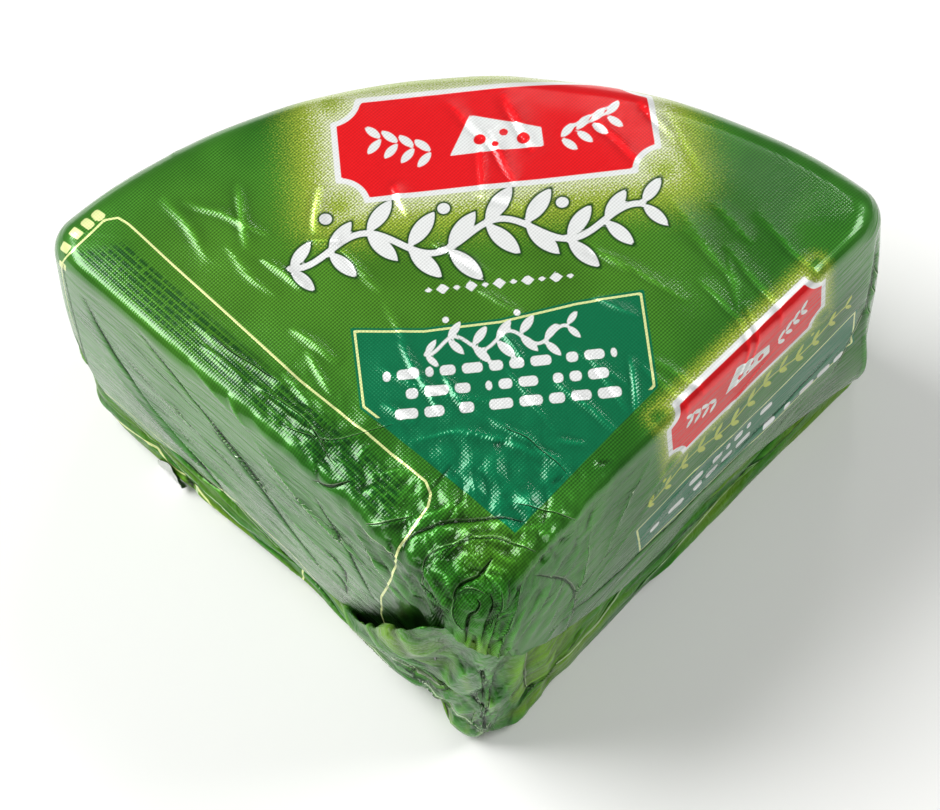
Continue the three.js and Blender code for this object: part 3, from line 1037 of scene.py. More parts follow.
def crushed_bump(tree, depth):
    """Small sharp facets, as deep as the vertices' own measure of crushing says."""
    place = add(tree, "TexCoord").outputs["Object"]
    bent = add(tree, "TexNoise", {"Vector": place, "Scale": BENDS_PER_METRE, "Detail": 2.0})
    place = add(tree, "VectorMath", {0: bent.outputs["Color"], 1: (BEND, BEND, BEND), 2: place},
                operation="MULTIPLY_ADD").outputs[0]
    facets = add(tree, "TexNoise", {"Vector": place, "Scale": FACETS_PER_METRE, "Detail": 3.0,
                                    "Roughness": 0.55})
    ridges = add(tree, "Math", {0: facets.outputs[0], 1: 0.5}, operation="SUBTRACT").outputs[0]
    ridges = add(tree, "Math", {0: ridges}, operation="ABSOLUTE").outputs[0]
    crush = add(tree, "Attribute", attribute_name="crush").outputs["Fac"]
    ridges = add(tree, "Math", {0: ridges, 1: crush}, operation="MULTIPLY").outputs[0]
    return add(tree, "Bump", {"Height": ridges, "Distance": depth * MM * RIDGE_GAIN, "Strength": 1.0}).outputs[0]


def crease_bump(tree, crease, near, relief):
    groove = add(tree, "MapRange", {0: crease, 1: 0.0, 2: CREASE_GROOVE, 3: -1.0, 4: 0.0}).outputs[0]
    groove = add(tree, "Math", {0: groove, 1: near}, operation="MULTIPLY").outputs[0]
    return add(tree, "Bump", {"Height": groove, "Distance": CREASE_DEPTH * MM, "Strength": 1.0,
                              "Normal": relief}).outputs[0]


# %% Streaks on the walls
STREAK_SHARES = (0.035, 0.42)  # streaks of size 1 per mm, along and across
HIGHEST_STREAK = 0.09  # the noise is cut off here, which leaves thin grooves between flat bands


def streak_bumps(tree, relief):
    """Long thin streaks along the walls, where the foil was pulled tight."""
    wall = add(tree, "Attribute", attribute_name="wall").outputs["Vector"]
    streaks = add(tree, "Attribute", attribute_name="streaks").outputs["Fac"]
    along, across = STREAK_SHARES
    for degrees, coarse, depth in STREAKS:
        pulled = add(tree, "Mapping", {"Vector": wall, "Rotation": (0, 0, math.radians(degrees)),
                                       "Scale": (along / coarse, across / coarse, 1)}).outputs[0]
        line = add(tree, "TexNoise", {"Vector": pulled, "Scale": 1.0, "Detail": 3.0, "Distortion": 0.25})
        line = add(tree, "Math", {0: line.outputs[0], 1: 0.5}, operation="SUBTRACT").outputs[0]
        line = add(tree, "Math", {0: line}, operation="ABSOLUTE").outputs[0]
        line = add(tree, "Math", {0: line, 1: HIGHEST_STREAK}, operation="MINIMUM").outputs[0]
        line = add(tree, "Math", {0: line, 1: streaks}, operation="MULTIPLY").outputs[0]
        relief = add(tree, "Bump", {"Height": line, "Distance": depth * MM, "Strength": 1.0,
                                    "Normal": relief}).outputs[0]
    return relief


# %% [markdown]
# ## The foils as materials
# One function makes both printed foils, because they are the same sheet: only the depth of the fine
# crushing differs. How glossy the varnish still is comes from the vertices, since crushed foil has
# cracked varnish. All other numbers are the same all over the sheet, so they are set on the shader.

# %% The printed foil
INK_METALLIC = 0.4  # how much of the metal's shine the see-through inks let by
INK_ROUGHNESS = 0.36
INK_SPECULAR = 0.1
VARNISH_ROUGHNESS = 0.14  # it lies over the emboss, so it mirrors a little blurred


def printed_foil(name, crush_depth):
    """Printed, embossed and varnished aluminium foil, with fine crushing of the given depth in mm."""
    material = bpy.data.materials.new(name)
    material.use_nodes = True
    tree = material.node_tree
    shader = tree.nodes["Principled BSDF"]
    sheet = add(tree, "Attribute", attribute_name="sheet").outputs["Vector"]
    weave = linen_weave(tree, sheet)
    crease, near = crease_fields(tree)
    tree.links.new(printed_colour(tree, sheet, weave, crease, near), shader.inputs["Base Color"])
    relief = crease_bump(tree, crease, near, crushed_bump(tree, crush_depth))
    relief = streak_bumps(tree, relief)
    emboss = add(tree, "Bump", {"Height": weave, "Distance": EMBOSS_DEPTH * MM, "Strength": 1.0,
                                "Normal": relief}).outputs[0]
    tree.links.new(emboss, shader.inputs["Normal"])
    tree.links.new(emboss, shader.inputs["Coat Normal"])
    varnish = add(tree, "Attribute", attribute_name="varnish").outputs["Fac"]
    tree.links.new(varnish, shader.inputs["Coat Weight"])
    shader.inputs["Metallic"].default_value = INK_METALLIC
    shader.inputs["Roughness"].default_value = INK_ROUGHNESS
    shader.inputs["Specular IOR Level"].default_value = INK_SPECULAR
    shader.inputs["Coat Roughness"].default_value = VARNISH_ROUGHNESS
    print(name, "has", len(tree.nodes), "nodes")
    return material


# smooth, deep green with a silky shine that the emboss breaks up
OUTER_FOIL = printed_foil("printed_varnished_aluminium_foil", 0.05)
# the same foil crumpled small, so that many facets flash where they face a lamp
UNDER_FOIL = printed_foil("printed_foil_crushed_under_the_fold", 0.14)

# %% The bare reverse of the foil
# rolled aluminium without ink: pale grey metal that mirrors the room softly, with shallow dents
BARE_ROUGHNESS = 0.32
BARE_DENTS = 0.5  # the depth of its dents in mm
BARE_FOIL = bpy.data.materials.new("bare_reverse_of_aluminium_foil")
BARE_FOIL.use_nodes = True
bare_tree = BARE_FOIL.node_tree
bare_shader = bare_tree.nodes["Principled BSDF"]
bare_place = add(bare_tree, "TexCoord").outputs["Object"]
dents = add(bare_tree, "TexNoise", {"Vector": bare_place, "Scale": 320.0, "Detail": 3.0}).outputs[0]
bare_bump = add(bare_tree, "Bump", {"Height": dents, "Distance": BARE_DENTS * MM, "Strength": 1.0})
bare_tree.links.new(bare_bump.outputs[0], bare_shader.inputs["Normal"])
bare_shader.inputs["Base Color"].default_value = linear("#d3d6d2")
bare_shader.inputs["Metallic"].default_value = 1.0
bare_shader.inputs["Roughness"].default_value = BARE_ROUGHNESS
print(BARE_FOIL.name, "has", len(bare_tree.nodes), "nodes")

# %% [markdown]
# ## The outer layer
# One grid makes it: rows from the fold's edge up the wall and over the rounded rim, then rings that
# close over the top. Its first rows turn in behind the edge as a hem. Over the point the foil is
# gathered into a knot and hangs down like a tongue. Beside it the layer goes on down into the
# pocket, and there its colour is painted dark, as painted shade. Cloth simulation would crumple it
# at random, and foil doesn't spring back as cloth does, so the relief is worked out instead. At the
# end the grid is cut in two along the rim, which keeps each piece small enough to export. The two
# share their normals at the cut.

# %% Relief of the outer layer
CRUSH_REACH = 30.0
LEFT_STRIP = [side_place(-1, 18) + [9, 3], side_place(-1, 70) + [9, 3]]  # crushed too, by the left edge
STRIP_REACH = 9.0
LOOSE_CORNER = (on_wall(1, 143, 20), 12.0, 2.8)  # gathered foil by the rind: place, reach, rise


def outer_relief(sheet, from_tip, on_side):
    """How far the foil stands out at each place, how crushed it is there, and where its creases are."""
    at_point = np.exp(-(np.linalg.norm(from_tip, axis=1) / CRUSH_REACH) ** 2)
    by_edge = np.exp(-(path_gap(sheet, LEFT_STRIP) / STRIP_REACH) ** 2)
    crush = np.clip(at_point + 0.55 * by_edge * (on_side == LEFT) + 0.1, 0, 1.2)
    height = 0.42 * noise(sheet, 46, 1) + 0.26 * noise(sheet, 19, 2)
    height += 0.9 * at_point * crushed(sheet, 16, 4) + 0.45 * by_edge * crushed(sheet, 12, 6)
    height += 1.15 * at_point * folded(sheet, 8.0, 50) + 0.5 * by_edge * folded(sheet, 7.0, 53)
    height += 0.16 * folded(sheet, 30.0, 54)
    corner, reach, rise = LOOSE_CORNER
    height += rise * np.exp(-(np.linalg.norm(sheet - corner, axis=1) / reach) ** 2)
    lines = np.full((len(sheet), 2), FAR_FROM_CREASE)
    for path, width, rise, dark in SHEET_CREASES:
        press_crease(height, lines, sheet, curved(path), width, rise, dark)
    return height, crush, lines


# %% The grid of the outer layer
WALL_ROWS = 112
TOP_RINGS = 98
HEM_DEPTHS = [(1.0, 2.6), (0.75, 0.9), (0.3, 0.0)]  # how far in and how far up behind the edge
POCKET_DEPTH = 24.0  # how far the outer layer goes on down into the pocket
LOWEST_EDGE = 6.0  # how far above the base it stays there
TOP_MIDDLE = np.array([0.0, 84.0])


def rim_of(columns, top, rounding):
    """Where the flat top ends at each column."""
    inset = wall_profile(np.zeros(len(top)), top, rounding, columns["far"])[0]
    return columns["place"] - columns["out"] * inset[:, None]


def outer_grid(columns, fold, pocket):
    """The places of the layer, the same on the sheet laid flat, and how far round and down they are."""
    place, out, far = columns["place"], columns["out"], columns["far"]
    top, rounding = rim_top(columns), top_rounding(columns)
    hidden = POCKET_DEPTH * smooth(pocket, 0.4, 0.9)
    fold_down = down_at(np.maximum(fold - hidden, LOWEST_EDGE), top, rounding)
    wall_run = np.where(columns["side"] == LEFT, columns["run"], -columns["run"])
    rim = rim_of(columns, top, rounding)
    points, sheets, walls = [], [], []

    def add_wall_row(down, inward, unrolled):
        inset, z = wall_profile(down, top, rounding, far)
        points.append(np.column_stack([place - out * (inset + inward)[:, None], z]))
        sheets.append(rim + out * unrolled[:, None])
        walls.append(np.column_stack([wall_run, unrolled]))

    for inward, up in HEM_DEPTHS:
        add_wall_row(fold_down - up, inward, fold_down + up)
    for row in range(WALL_ROWS):
        down = fold_down * (1 - row / WALL_ROWS)
        add_wall_row(down, 0.0, down)
    for ring in range(TOP_RINGS):
        edge = 1 - (ring / TOP_RINGS) ** 1.15
        flat = TOP_MIDDLE + (rim - TOP_MIDDLE) * edge
        points.append(np.column_stack([flat, top_height(flat[:, 0], flat[:, 1], edge)]))
        sheets.append(flat)
        walls.append(np.column_stack([wall_run, -np.linalg.norm(rim - flat, axis=1)]))
    return np.array(points), np.array(sheets), np.array(walls)


outer = outline(point=44, side=214, corner=22, rind=188)
outer_fold, outer_pocket = fold_height(outer), pocket_share(outer)
outer_flat, outer_sheet, outer_wall = outer_grid(outer, outer_fold, outer_pocket)
print("The outer layer has", outer_flat.shape[0], "rows of", outer_flat.shape[1], "places")

# %% Its relief pressed into it
HEMS = len(HEM_DEPTHS)
LOWEST_PLACE = 0.9
CRUSH_DOWN = 6.0  # how far below the top the crushed place has its middle
rows, around = outer_flat.shape[:2]
from_tip = outer_flat.reshape(-1, 3) - [*SWIRL_AT, HEIGHT - CRUSH_DOWN]
outer_height, outer_crush, outer_lines = (values.reshape(rows, around, -1) for values in outer_relief(
    outer_sheet.reshape(-1, 2), from_tip, np.tile(outer["side"], rows)))
outer_height[:HEMS] = outer_height[HEMS]
outer_points = outer_flat + grid_normals(outer_flat) * outer_height
outer_points[:, :, 2] = np.maximum(outer_points[:, :, 2], LOWEST_PLACE)
print("Relief from", round(float(outer_height.min()), 2), "to", round(float(outer_height.max()), 2), "mm")


# %% How dark the shade painted into the pocket is
def pocket_painted_shade_share(height_above_fold, wall, pocket):
    """Painted shade, dark deep in the pocket, with an uneven edge, and not quite black."""
    flat_wall, shape = wall.reshape(-1, 2), height_above_fold.shape
    above_fold = height_above_fold + 4 * noise(flat_wall, 9, 41).reshape(shape)
    most = np.clip(0.88 + 0.3 * noise(flat_wall, 5, 43).reshape(shape), 0.6, 0.96)
    return most * smooth(pocket, 0.05, 0.6) * (1 - smooth(above_fold, 2, 20))


outer_painted_shade = pocket_painted_shade_share(outer_points[:, :, 2] - outer_fold, outer_wall, outer_pocket)
print("Darkest place in the pocket:", round(float(outer_painted_shade.max()), 2))

# %% Cut in two along the rim
KNOT_AT = np.array([0.0, -10.0])
KNOT_REACH = 24.0
EMBOSS_LEFT_ON_WALLS = 0.12  # the walls were pulled tight, which flattened most of the weave
STREAKS_FROM_POINT = (14.0, 34.0)  # the streaks of the walls fade out towards the point,
STREAKS_FROM_CORNER = (0.0, 16.0)  # and at the rear left corner, where their slant changes sides
CORNER_FROM_POINT = 137.0
corner_gap = np.abs(outer_wall[0, :, 0] - outer["round"] + CORNER_FROM_POINT)
streaked = np.minimum(smooth(outer["far"], *STREAKS_FROM_POINT), smooth(corner_gap, *STREAKS_FROM_CORNER))
PER_PLACE = {
    "place": outer_points, "sheet": outer_sheet, "wall": outer_wall, "crush": outer_crush,
    "lines": outer_lines, "normal": grid_normals(outer_points), "dark": outer_painted_shade,
    "streaked": np.tile(streaked, (rows, 1)), "ridge": stands_above(outer_height[:, :, 0])}


def outer_fields(at):
    """What the shader needs to know at each place of the outer layer."""
    at_knot = np.exp(-(np.linalg.norm(at["sheet"] - KNOT_AT, axis=1) / KNOT_REACH) ** 4)
    down, crush = at["wall"][:, 1], at["crush"][:, 0]
    fields = print_fields(at["sheet"])
    fields.update(sheet=at["sheet"], wall=at["wall"], crush=crush, in_pocket=at["dark"][:, 0],
                  crease=at["lines"][:, 0], crease_gap=at["lines"][:, 1], ridge=at["ridge"][:, 0])
    fields["emboss"] = 1 - (1 - EMBOSS_LEFT_ON_WALLS) * smooth(down, -2.0, 5.0) * (1 - at_knot)
    fields["varnish"] = (1 - 0.35 * np.clip(crush, 0, 1)) * (1 - 0.85 * at_knot)
    fields["streaks"] = smooth(down, 4.0, 9.0) * at["streaked"][:, 0]
    return fields


def cut_out(name, first, last, middle=None):
    """The rows from first to last as a piece of their own, closed by a place in the middle if given."""
    at = {key: values[first:last].reshape((last - first) * around, -1) for key, values in PER_PLACE.items()}
    faces = grid_faces(last - first, around).tolist()
    if middle is not None:
        start = (last - first - 1) * around
        faces += [[start + i, start + (i + 1) % around, start + around] for i in range(around)]
        at = {key: np.concatenate([values, values[-1:]]) for key, values in at.items()}
        at["place"][-1], at["sheet"][-1], at["normal"][-1] = middle, middle[:2], [0, 0, 1]
    make_piece(name, at["place"], faces, OUTER_FOIL, outer_fields(at), at["normal"])


rim_row = HEMS + WALL_ROWS
cut_out("printed_walls", 0, rim_row + 1)
cut_out("printed_top", rim_row, rows, np.array([*TOP_MIDDLE, outer_points[-1, :, 2].mean()]))

# %% [markdown]
# ## The layer below
# Under the fold the same sheet comes round the point again and goes on under the base. It is crushed
# much more, because here the corners of the sheet are gathered. It starts a little way up behind
# the outer layer's hem and closes under the block. Beside the point it leaves the wall and stands
# off it, as the front of the pocket. How far its foot stands out was read off at a few places.

# %% How the layer below hangs
BEHIND = 2.6  # how far it lies behind the outer one at the fold, from where it leans out to the base
BEHIND_AT_RIND = 1.3
OVERLAP = 9.0  # how far up behind the hem it starts
RIGHT_SPREAD = [(0, 0.0), (26, 0.8), (41, 1.1), (57, 0.6), (80, 0.4), (104, 0.8), (121, 1.0), (146, 0.8)]
LEFT_SPREAD = [(0, -1.8), (20, -2.6), (34, -0.5), (50, 1.0), (90, 0.6), (115, 1.8), (130, 1.3), (146, -1.0)]
BACK_SPREAD = 0.8  # at the right corner; it is gone half way round the rind
HALF_RIND = 110.0  # about half of the way round the rind, in mm
VIEW_SLOPE = 2.7  # how much higher an edge has to be, per mm that it stands out, to look as high


def foot_spread(columns):
    """How far the foot of the layer stands out at each column."""
    far, side, run = columns["far"], columns["side"], columns["run"]
    round_the_back = (run - run[side == BACK].min()) / HALF_RIND
    at_back = BACK_SPREAD * (1 - smooth(round_the_back, 0, 1))
    at_back = at_back + LEFT_SPREAD[-1][1] * smooth(round_the_back, 1, 1.9)
    at_left = np.where(side == LEFT, np.interp(far, *np.array(LEFT_SPREAD).T), 0.0)
    at_right = np.interp(far, *np.array(RIGHT_SPREAD).T)
    spread = np.where(side == RIGHT, at_right, np.where(side == BACK, at_back, at_left))
    return blurred_round(spread, columns, 9.0)


under = outline(point=44, side=190, corner=18, rind=120)
under_pocket = pocket_share(under)
lies_behind = blurred_round(np.where(under["side"] == BACK, BEHIND_AT_RIND, BEHIND), under, 9.0)
stands_off = POCKET * under_pocket - lies_behind * (1 - under_pocket)  # at the fold's height
under_fold = fold_height(under, np.maximum(stands_off, 0))
print("It stands off by up to", round(float(stands_off.max()), 1), "mm")

# %% The grid of the layer below
UNDER_ROWS = 110
UNDER_RINGS = 30
UNDER_HEM = [(1.2, 3.0), (0.9, 1.2), (0.45, 0.2)]
BASE_HEIGHT = 1.0


def under_grid(columns, run):
    """The places of the layer, the same on the sheet laid flat, and how far round and down they are."""
    place, out, far = columns["place"], columns["out"], columns["far"]
    top, rounding, spread = rim_top(columns), top_rounding(columns), foot_spread(columns)
    overlap = OVERLAP * (1 - smooth(stands_off, -BEHIND, 0.3))
    edge_z = under_fold + overlap + VIEW_SLOPE * np.maximum(stands_off, 0)
    from_down = down_at(np.minimum(edge_z, top - 8), top, rounding)
    to_down = down_at(np.zeros(len(top)), top, rounding)
    rim = rim_of(columns, top, rounding)
    foot = place - out * (wall_profile(to_down, top, rounding, far)[0] - spread)[:, None]
    points, sheets, walls = [], [], []
    for ring in range(UNDER_RINGS):
        edge = (ring + 1) / (UNDER_RINGS + 1)
        flat = TOP_MIDDLE + (foot - TOP_MIDDLE) * edge
        points.append(np.column_stack([flat, np.full(len(flat), BASE_HEIGHT)]))
        inward = np.linalg.norm(foot - flat, axis=1)
        sheets.append(rim + out * (to_down + inward)[:, None])
        walls.append(np.column_stack([run, to_down + inward]))

    def add_row(down, inward, unrolled):
        inset, z = wall_profile(down, top, rounding, far)
        share = np.clip(z / under_fold, 0, 1)
        depth = inward - stands_off * share - spread * (1 - share)
        points.append(np.column_stack([place - out * (inset + depth)[:, None], z]))
        sheets.append(rim + out * unrolled[:, None])
        walls.append(np.column_stack([run, unrolled]))

    for row in range(UNDER_ROWS + 1):
        down = to_down + (from_down - to_down) * row / UNDER_ROWS
        add_row(down, 0.0, down)
    for inward, back_down in reversed(UNDER_HEM):
        add_row(from_down + back_down, inward, from_down - back_down)
    return np.array(points), np.array(sheets), np.array(walls)


# the run goes on past the point, so that the creases there don't break off
past_half = under["run"] > under["round"] / 2
under_run = np.where(past_half, under["run"] - under["round"], under["run"])
under_flat, under_sheet, under_wall = under_grid(under, under_run)
print("The layer below has", under_flat.shape[0], "rows of", under_flat.shape[1], "places")

# %% The creases of the layer below
UNDER_CREASES = [  # path on the sheet, width, rise, how strong its painted lines of crease shade and highlight are
    ([on_wall(-1, 28, 37), on_wall(-1, 21, 33), on_wall(-1, 16, 22.5), on_wall(-1, 9, 18), (-3, -70)],
     0.6, 1.6, 2.4),
    ([on_wall(-1, 26, 37), on_wall(-1, 16, 33), on_wall(-1, 9, 31), (-4, -52)], 0.9, -1.5, 2.6),
] + on_walls(-1, [
    ([(31, 22), (22, 27), (13, 27), (5, 35)], 0.6, 1.5, 2.4),
    ([(50, 13), (39, 18), (30, 12), (5, 10)], 0.8, 1.4, 2.0),
    ([(37, 15), (21, 8), (5, 8)], 0.7, -1.1, 1.6),
    ([(76, 14), (58, 8), (34, 5)], 0.7, -1.0, 1.1),
    ([(134, 15), (112, 9), (90, 11), (70, 8)], 0.8, 1.1, 0.9),
    ([(128, 22), (104, 14), (84, 17)], 0.7, -0.9, 1.0),
    ([(110, 20), (90, 19), (66, 12)], 0.6, 0.9, 0.8),
]) + on_walls(1, [
    ([(33, 18), (24, 17), (16, 14), (5, 13)], 0.8, 1.3, 2.0),
    ([(20, 58), (16, 44), (14, 33), (13, 16)], 0.8, -1.2, 2.0),
    ([(57, 14), (41, 11), (26, 12), (12, 16)], 0.8, -1.2, 2.2),
    ([(140, 12), (110, 12), (80, 16), (50, 10)], 0.9, 1.2, 1.0),
    ([(132, 8), (96, 9), (64, 8), (34, 6)], 0.8, -1.0, 1.3),
]) + [
    ([(0.5, -28), (1.5, -40), (-1.0, -52)], 0.7, -1.3, 1.8),
    ([(-12, -40), (-3, -52), (-1, -60), (-8, -70)], 0.6, 1.0, 1.2),
    ([(12, -44), (4, -54), (-2, -62), (6, -72)], 0.6, -1.0, 1.3),
    ([(-9, -62), (0, -66), (10, -62)], 0.6, 1.1, 1.3),
    ([(-8, -78), (1, -74), (9, -79)], 0.6, -1.0, 1.4),
# the gaping crease beside the bare corner, with a strong line of painted shade
] + on_walls(-1, [([(109, 9), (106, 5), (102, 0.5)], 1.2, -2.2, 4.5)])


def short_under_creases(draw):
    """Short creases along the foot, crush at the point, and pleats down the curved wall."""
    creases = []
    for sign, count in ((-1, 60), (1, 46)):
        for _ in range(count):
            far, low = draw.uniform(12, 140), draw.uniform(3, 30)
            length, fall = draw.uniform(10, 44), draw.uniform(-0.12, 0.3)
            path = [on_wall(sign, far, low), on_wall(sign, max(far - length, 3), max(low - fall * length, 2))]
            creases.append((path, draw.uniform(0.5, 1.0), draw.uniform(-0.8, 0.9), 0.0))
    for _ in range(60):
        middle = np.array([draw.uniform(-18, 20), draw.uniform(-86, -24)])
        path = short_crease(middle, draw.uniform(3, 11), draw.uniform(-2.6, -0.5))
        creases.append((path, draw.uniform(0.5, 0.9), draw.uniform(-0.9, 0.9),
                        max(draw.uniform(-1.2, 1.0), 0.0)))
    for turn in np.arange(-44, 44, 3.1):
        path = [on_rind(turn, 26), on_rind(turn + draw.uniform(-2, 2), 1)]
        creases.append((path, draw.uniform(0.8, 1.3), draw.uniform(0.4, 0.9), draw.uniform(0.2, 0.8)))
    return creases


SHORT_UNDER_CREASES = short_under_creases(np.random.default_rng(5))
print("Creases in the layer below:", len(UNDER_CREASES) + len(SHORT_UNDER_CREASES))

# %% Relief of the layer below
FRONT_REACH = 30.0
FRONT_AT = np.array([0.0, 4.0])
DEEPEST, HIGHEST = -2.0, 1.7
UNDER_LOWEST_PLACE = 0.35


def under_relief(sheet, place, along, seam):
    """Facets at the point, long folds by the base of the sides; flat again where it meets the floor."""
    front = np.exp(-(np.linalg.norm(place[:, :2] - FRONT_AT, axis=1) / FRONT_REACH) ** 2)
    height = 0.35 * noise(place, 26, 11)
    height += front * (0.5 * crushed(place, 19, 12) + 2.3 * folded(place, 10.5, 51))
    long_folds = 0.4 * crushed(along * [0.1, 1.0], 4.6, 13) + 0.8 * folded(along * [0.14, 1.0], 4.2, 52)
    height += (1 - front) * seam * long_folds
    lines = np.full((len(sheet), 2), FAR_FROM_CREASE)
    for path, width, rise, dark in UNDER_CREASES:
        press_crease(height, lines, sheet, curved(path), width, rise, dark)
    for path, width, rise, dark in SHORT_UNDER_CREASES:
        press_crease(height, lines, sheet, path, width, rise, dark)
    by_floor = 0.3 + 0.7 * smooth(place[:, 2], 0, 7)
    return np.clip(height, DEEPEST, HIGHEST) * by_floor, lines


def tucked_behind_hem(height, z):
    """The same relief, pressed flat and a little back where the outer layer's hem covers it."""
    behind = np.array([smooth(row, under_fold - 1, under_fold + 3) * (1 - under_pocket) for row in z])
    return np.minimum(height, height * (1 - behind) - 0.6 * behind)


under_rows, under_around = under_flat.shape[:2]
seam = smooth(under["round"] / 2 - np.abs(under_run), 0, 24)  # 0 at the back, where the sheet's ends meet
under_height, under_lines = under_relief(
    under_sheet.reshape(-1, 2), under_flat.reshape(-1, 3), under_wall.reshape(-1, 2),
    np.tile(seam, under_rows))
under_height = under_height.reshape(under_rows, under_around)
hem_rows = len(UNDER_HEM)
under_height[-hem_rows:] = under_height[-hem_rows - 1]
under_height = tucked_behind_hem(under_height, under_flat[:, :, 2])
under_points = under_flat + grid_normals(under_flat) * under_height[:, :, None]
under_points[:, :, 2] = np.maximum(under_points[:, :, 2], UNDER_LOWEST_PLACE)
print("Relief from", round(float(under_height.min()), 2), "to", round(float(under_height.max()), 2), "mm")

# %% The layer below as a piece
PRINT_SHIFT = [37.0, -12.0]  # its print is another part of the same sheet
NOT_PRINTED_HERE = ("plaque", "glow_gap", "emblem", "garland", "thin_garland", "white_marks", "tabs",
                    "fine_print")


def under_fields(sheet, wall, lines, ridge):
    """What the shader needs to know at each place of the layer below."""
    count = len(sheet)
    fields = print_fields(sheet + PRINT_SHIFT)
    fields.update({field: np.full(count, NOWHERE) for field in NOT_PRINTED_HERE})
    fields.update(sheet=sheet, wall=wall, crush=np.full(count, 1.0), in_pocket=np.zeros(count),
                  emboss=np.full(count, EMBOSS_LEFT_ON_WALLS), ridge=ridge,
                  crease=lines[:, 0], crease_gap=lines[:, 1])
    at_front = np.exp(-(np.linalg.norm(sheet - [0, -50], axis=1) / 42) ** 4)
    tinted = (1 - at_front) * noise(wall * [0.12, 1.0], 5.5, 33) + at_front * noise(sheet, 12, 36)
    fields["warm"] = np.clip(0.35 - 0.45 * at_front + 1.1 * tinted + 0.5 * noise(sheet, 30, 34), -1, 1)
    glossy = np.clip(0.5 + 0.6 * noise(wall * [0.2, 1.0], 9, 35), 0.1, 0.9)
    fields["varnish"] = glossy + (0.85 - glossy) * at_front
    fields["streaks"] = 0.6 * (1 - at_front)
    return fields


# one more place, in the middle of the base, closes the layer
closed_points = np.concatenate([under_points.reshape(-1, 3), [[*TOP_MIDDLE, BASE_HEIGHT]]])
closed_sheet = np.concatenate([under_sheet.reshape(-1, 2), TOP_MIDDLE[None]])
closed_wall = np.concatenate([under_wall.reshape(-1, 2), [[0, 0]]])
closed_lines = np.concatenate([under_lines, [[FAR_FROM_CREASE, FAR_FROM_CREASE]]])
under_faces = grid_faces(under_rows, under_around).tolist()
under_faces += [[(i + 1) % under_around, i, under_rows * under_around] for i in range(under_around)]
make_piece("printed_under_layer", closed_points, under_faces, UNDER_FOIL,
           under_fields(closed_sheet, closed_wall, closed_lines, np.append(stands_above(under_height), 0.0)))

# %% [markdown]
# ## A corner of bare foil
# At the foot of the left wall a corner of the sheet is turned over, so its unprinted side shows as
# plain metal. It is a small flap that curls away from the wall along one edge, and the foil beside
# it gapes in a deep crease. A small open grid is enough for it.

# %% The turned-over corner
FLAP_FAR = (107.5, 117.5)
FLAP_HIGH = 7.5
FLAP_CURL = 0.9
FLAP_OFF_WALL = 2.1
FLAP_ROWS, FLAP_COLUMNS = 16, 22


def bare_flap():
    across, up = np.meshgrid(np.linspace(0, 1, FLAP_COLUMNS), np.linspace(0, 1, FLAP_ROWS))
    across, up = across.ravel(), up.ravel()
    far = FLAP_FAR[0] + (FLAP_FAR[1] - FLAP_FAR[0]) * across
    z = 0.5 + FLAP_HIGH * up * np.sqrt(np.sin(np.pi * (0.06 + 0.88 * across)))
    foot = BASE_ROUND - np.sqrt(BASE_ROUND ** 2 - np.maximum(BASE_ROUND - z, 0) ** 2)
    off = FLAP_OFF_WALL - wall_inset(z) - foot + FLAP_CURL * (1 - across) ** 2 - 0.2 * z
    off += 0.5 * folded(np.stack([far, z], 1), 4.0, 55)
    out = np.array([-math.cos(HALF_ANGLE), -math.sin(HALF_ANGLE)])
    flat = side_place(-1, 1.0) * far[:, None] + out * off[:, None]
    faces = grid_faces(FLAP_ROWS, FLAP_COLUMNS, closed=False).tolist()
    make_piece("bare_corner", np.column_stack([flat, z]), faces, BARE_FOIL)


bare_flap()

# %% [markdown]
# ## Room, light and camera
# A plain studio: a white floor, a large soft light from the upper left, and a dim room. The top of
# the foil mirrors the dim part of the room, so its ink stays deep, while the walls mirror the floor.

# %% Floor
# matt white emulsion paint: an even pale ground that throws soft light back up at the walls
FLOOR_HALF = 3.0
floor_mesh = bpy.data.meshes.new("studio_floor")
floor_mesh.from_pydata([(-FLOOR_HALF, -FLOOR_HALF, 0), (FLOOR_HALF, -FLOOR_HALF, 0),
                        (FLOOR_HALF, FLOOR_HALF, 0), (-FLOOR_HALF, FLOOR_HALF, 0)], [], [(0, 1, 2, 3)])
floor = bpy.data.objects.new("studio_floor", floor_mesh)
bpy.context.scene.collection.objects.link(floor)
floor_paint = bpy.data.materials.new("white_studio_paint")
floor_paint.use_nodes = True
floor_shader = floor_paint.node_tree.nodes["Principled BSDF"]
floor_shader.inputs["Base Color"].default_value = linear("#f4f4f2")
floor_shader.inputs["Roughness"].default_value = 0.9
floor_shader.inputs["Specular IOR Level"].default_value = 0.1
floor_mesh.materials.append(floor_paint)
print("The floor is", 2 * FLOOR_HALF, "m wide")

# %% Lights
def soft_light(name, place, aim, size, power):
    light = bpy.data.lights.new(name, "AREA")
    light.shape = "RECTANGLE"
    light.size, light.size_y = size
    light.energy = power
    lamp = bpy.data.objects.new(name, light)
    bpy.context.scene.collection.objects.link(lamp)
    heading = Vector(aim) - Vector(place)
    lamp.rotation_euler = heading.to_track_quat("-Z", "Y").to_euler()
    lamp.location = place
    return lamp


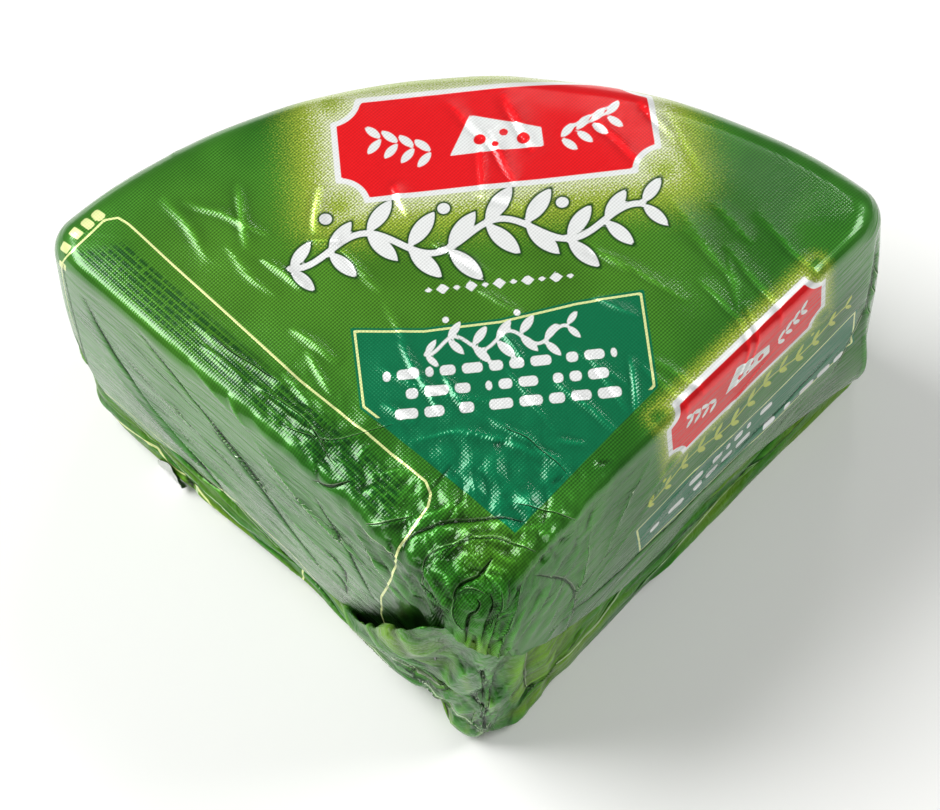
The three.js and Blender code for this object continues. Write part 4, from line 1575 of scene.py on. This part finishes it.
# name, place, what it aims at, size in metres, and power in watts
soft_light("key_softbox", (-1.0, 0.35, 1.15), (0, 0, 0.04), (0.9, 0.9), 27)
soft_light("fill_softbox", (1.1, 0.3, 1.0), (0, 0, 0.04), (0.6, 0.6), 9)
soft_light("back_strip", (0.35, 1.3, 1.5), (0, 0, 0.06), (0.24, 0.1), 1.5)
soft_light("front_softbox", (-0.2, -1.3, 0.9), (0, 0, 0.02), (1.2, 0.5), 6)
world = bpy.data.worlds.new("dim_studio_room")
world.use_nodes = True
world.node_tree.nodes["Background"].inputs["Color"].default_value = (1, 1, 1, 1)
world.node_tree.nodes["Background"].inputs["Strength"].default_value = 0.14
bpy.context.scene.world = world
bpy.context.scene.view_settings.view_transform = "Standard"
print("Lights:", len(bpy.data.lights))

# %% [markdown]
# The camera was found from the outline of the wedge in the photograph: it looks down at 63 degrees
# from just right of the point, 750 mm away, and is tipped by 5 degrees.

# %% Camera
CAMERA_AZIMUTH = math.radians(3.18)
CAMERA_ELEVATION = math.radians(63.22)
CAMERA_DISTANCE = 748.95
CAMERA_TIP = math.radians(-4.96)
CAMERA_LENS_PIXELS = 2801.7
IMAGE_WIDTH = 940
AIM = np.array([0.0, 87.6, 0.0])
AIM_RIGHT = -2.36
AIM_UP = 7.0

back = np.array([math.sin(CAMERA_AZIMUTH) * math.cos(CAMERA_ELEVATION),
                 -math.cos(CAMERA_AZIMUTH) * math.cos(CAMERA_ELEVATION), math.sin(CAMERA_ELEVATION)])
right = np.array([math.cos(CAMERA_AZIMUTH), math.sin(CAMERA_AZIMUTH), 0.0])
up = np.cross(back, right)
right, up = (math.cos(CAMERA_TIP) * right + math.sin(CAMERA_TIP) * up,
             math.cos(CAMERA_TIP) * up - math.sin(CAMERA_TIP) * right)
stand = AIM + right * AIM_RIGHT + up * AIM_UP + back * CAMERA_DISTANCE + [0, TIP_Y, 0]
camera_data = bpy.data.cameras.new("camera")
camera_data.sensor_width = 36.0
camera_data.lens = CAMERA_LENS_PIXELS / IMAGE_WIDTH * camera_data.sensor_width
camera_data.clip_end = 20
camera = bpy.data.objects.new("camera", camera_data)
bpy.context.scene.collection.objects.link(camera)
camera.matrix_world = Matrix([[right[i], up[i], back[i], stand[i] * MM] for i in range(3)] + [[0, 0, 0, 1]])
bpy.context.scene.camera = camera
print("Lens:", round(camera_data.lens, 1), "mm")
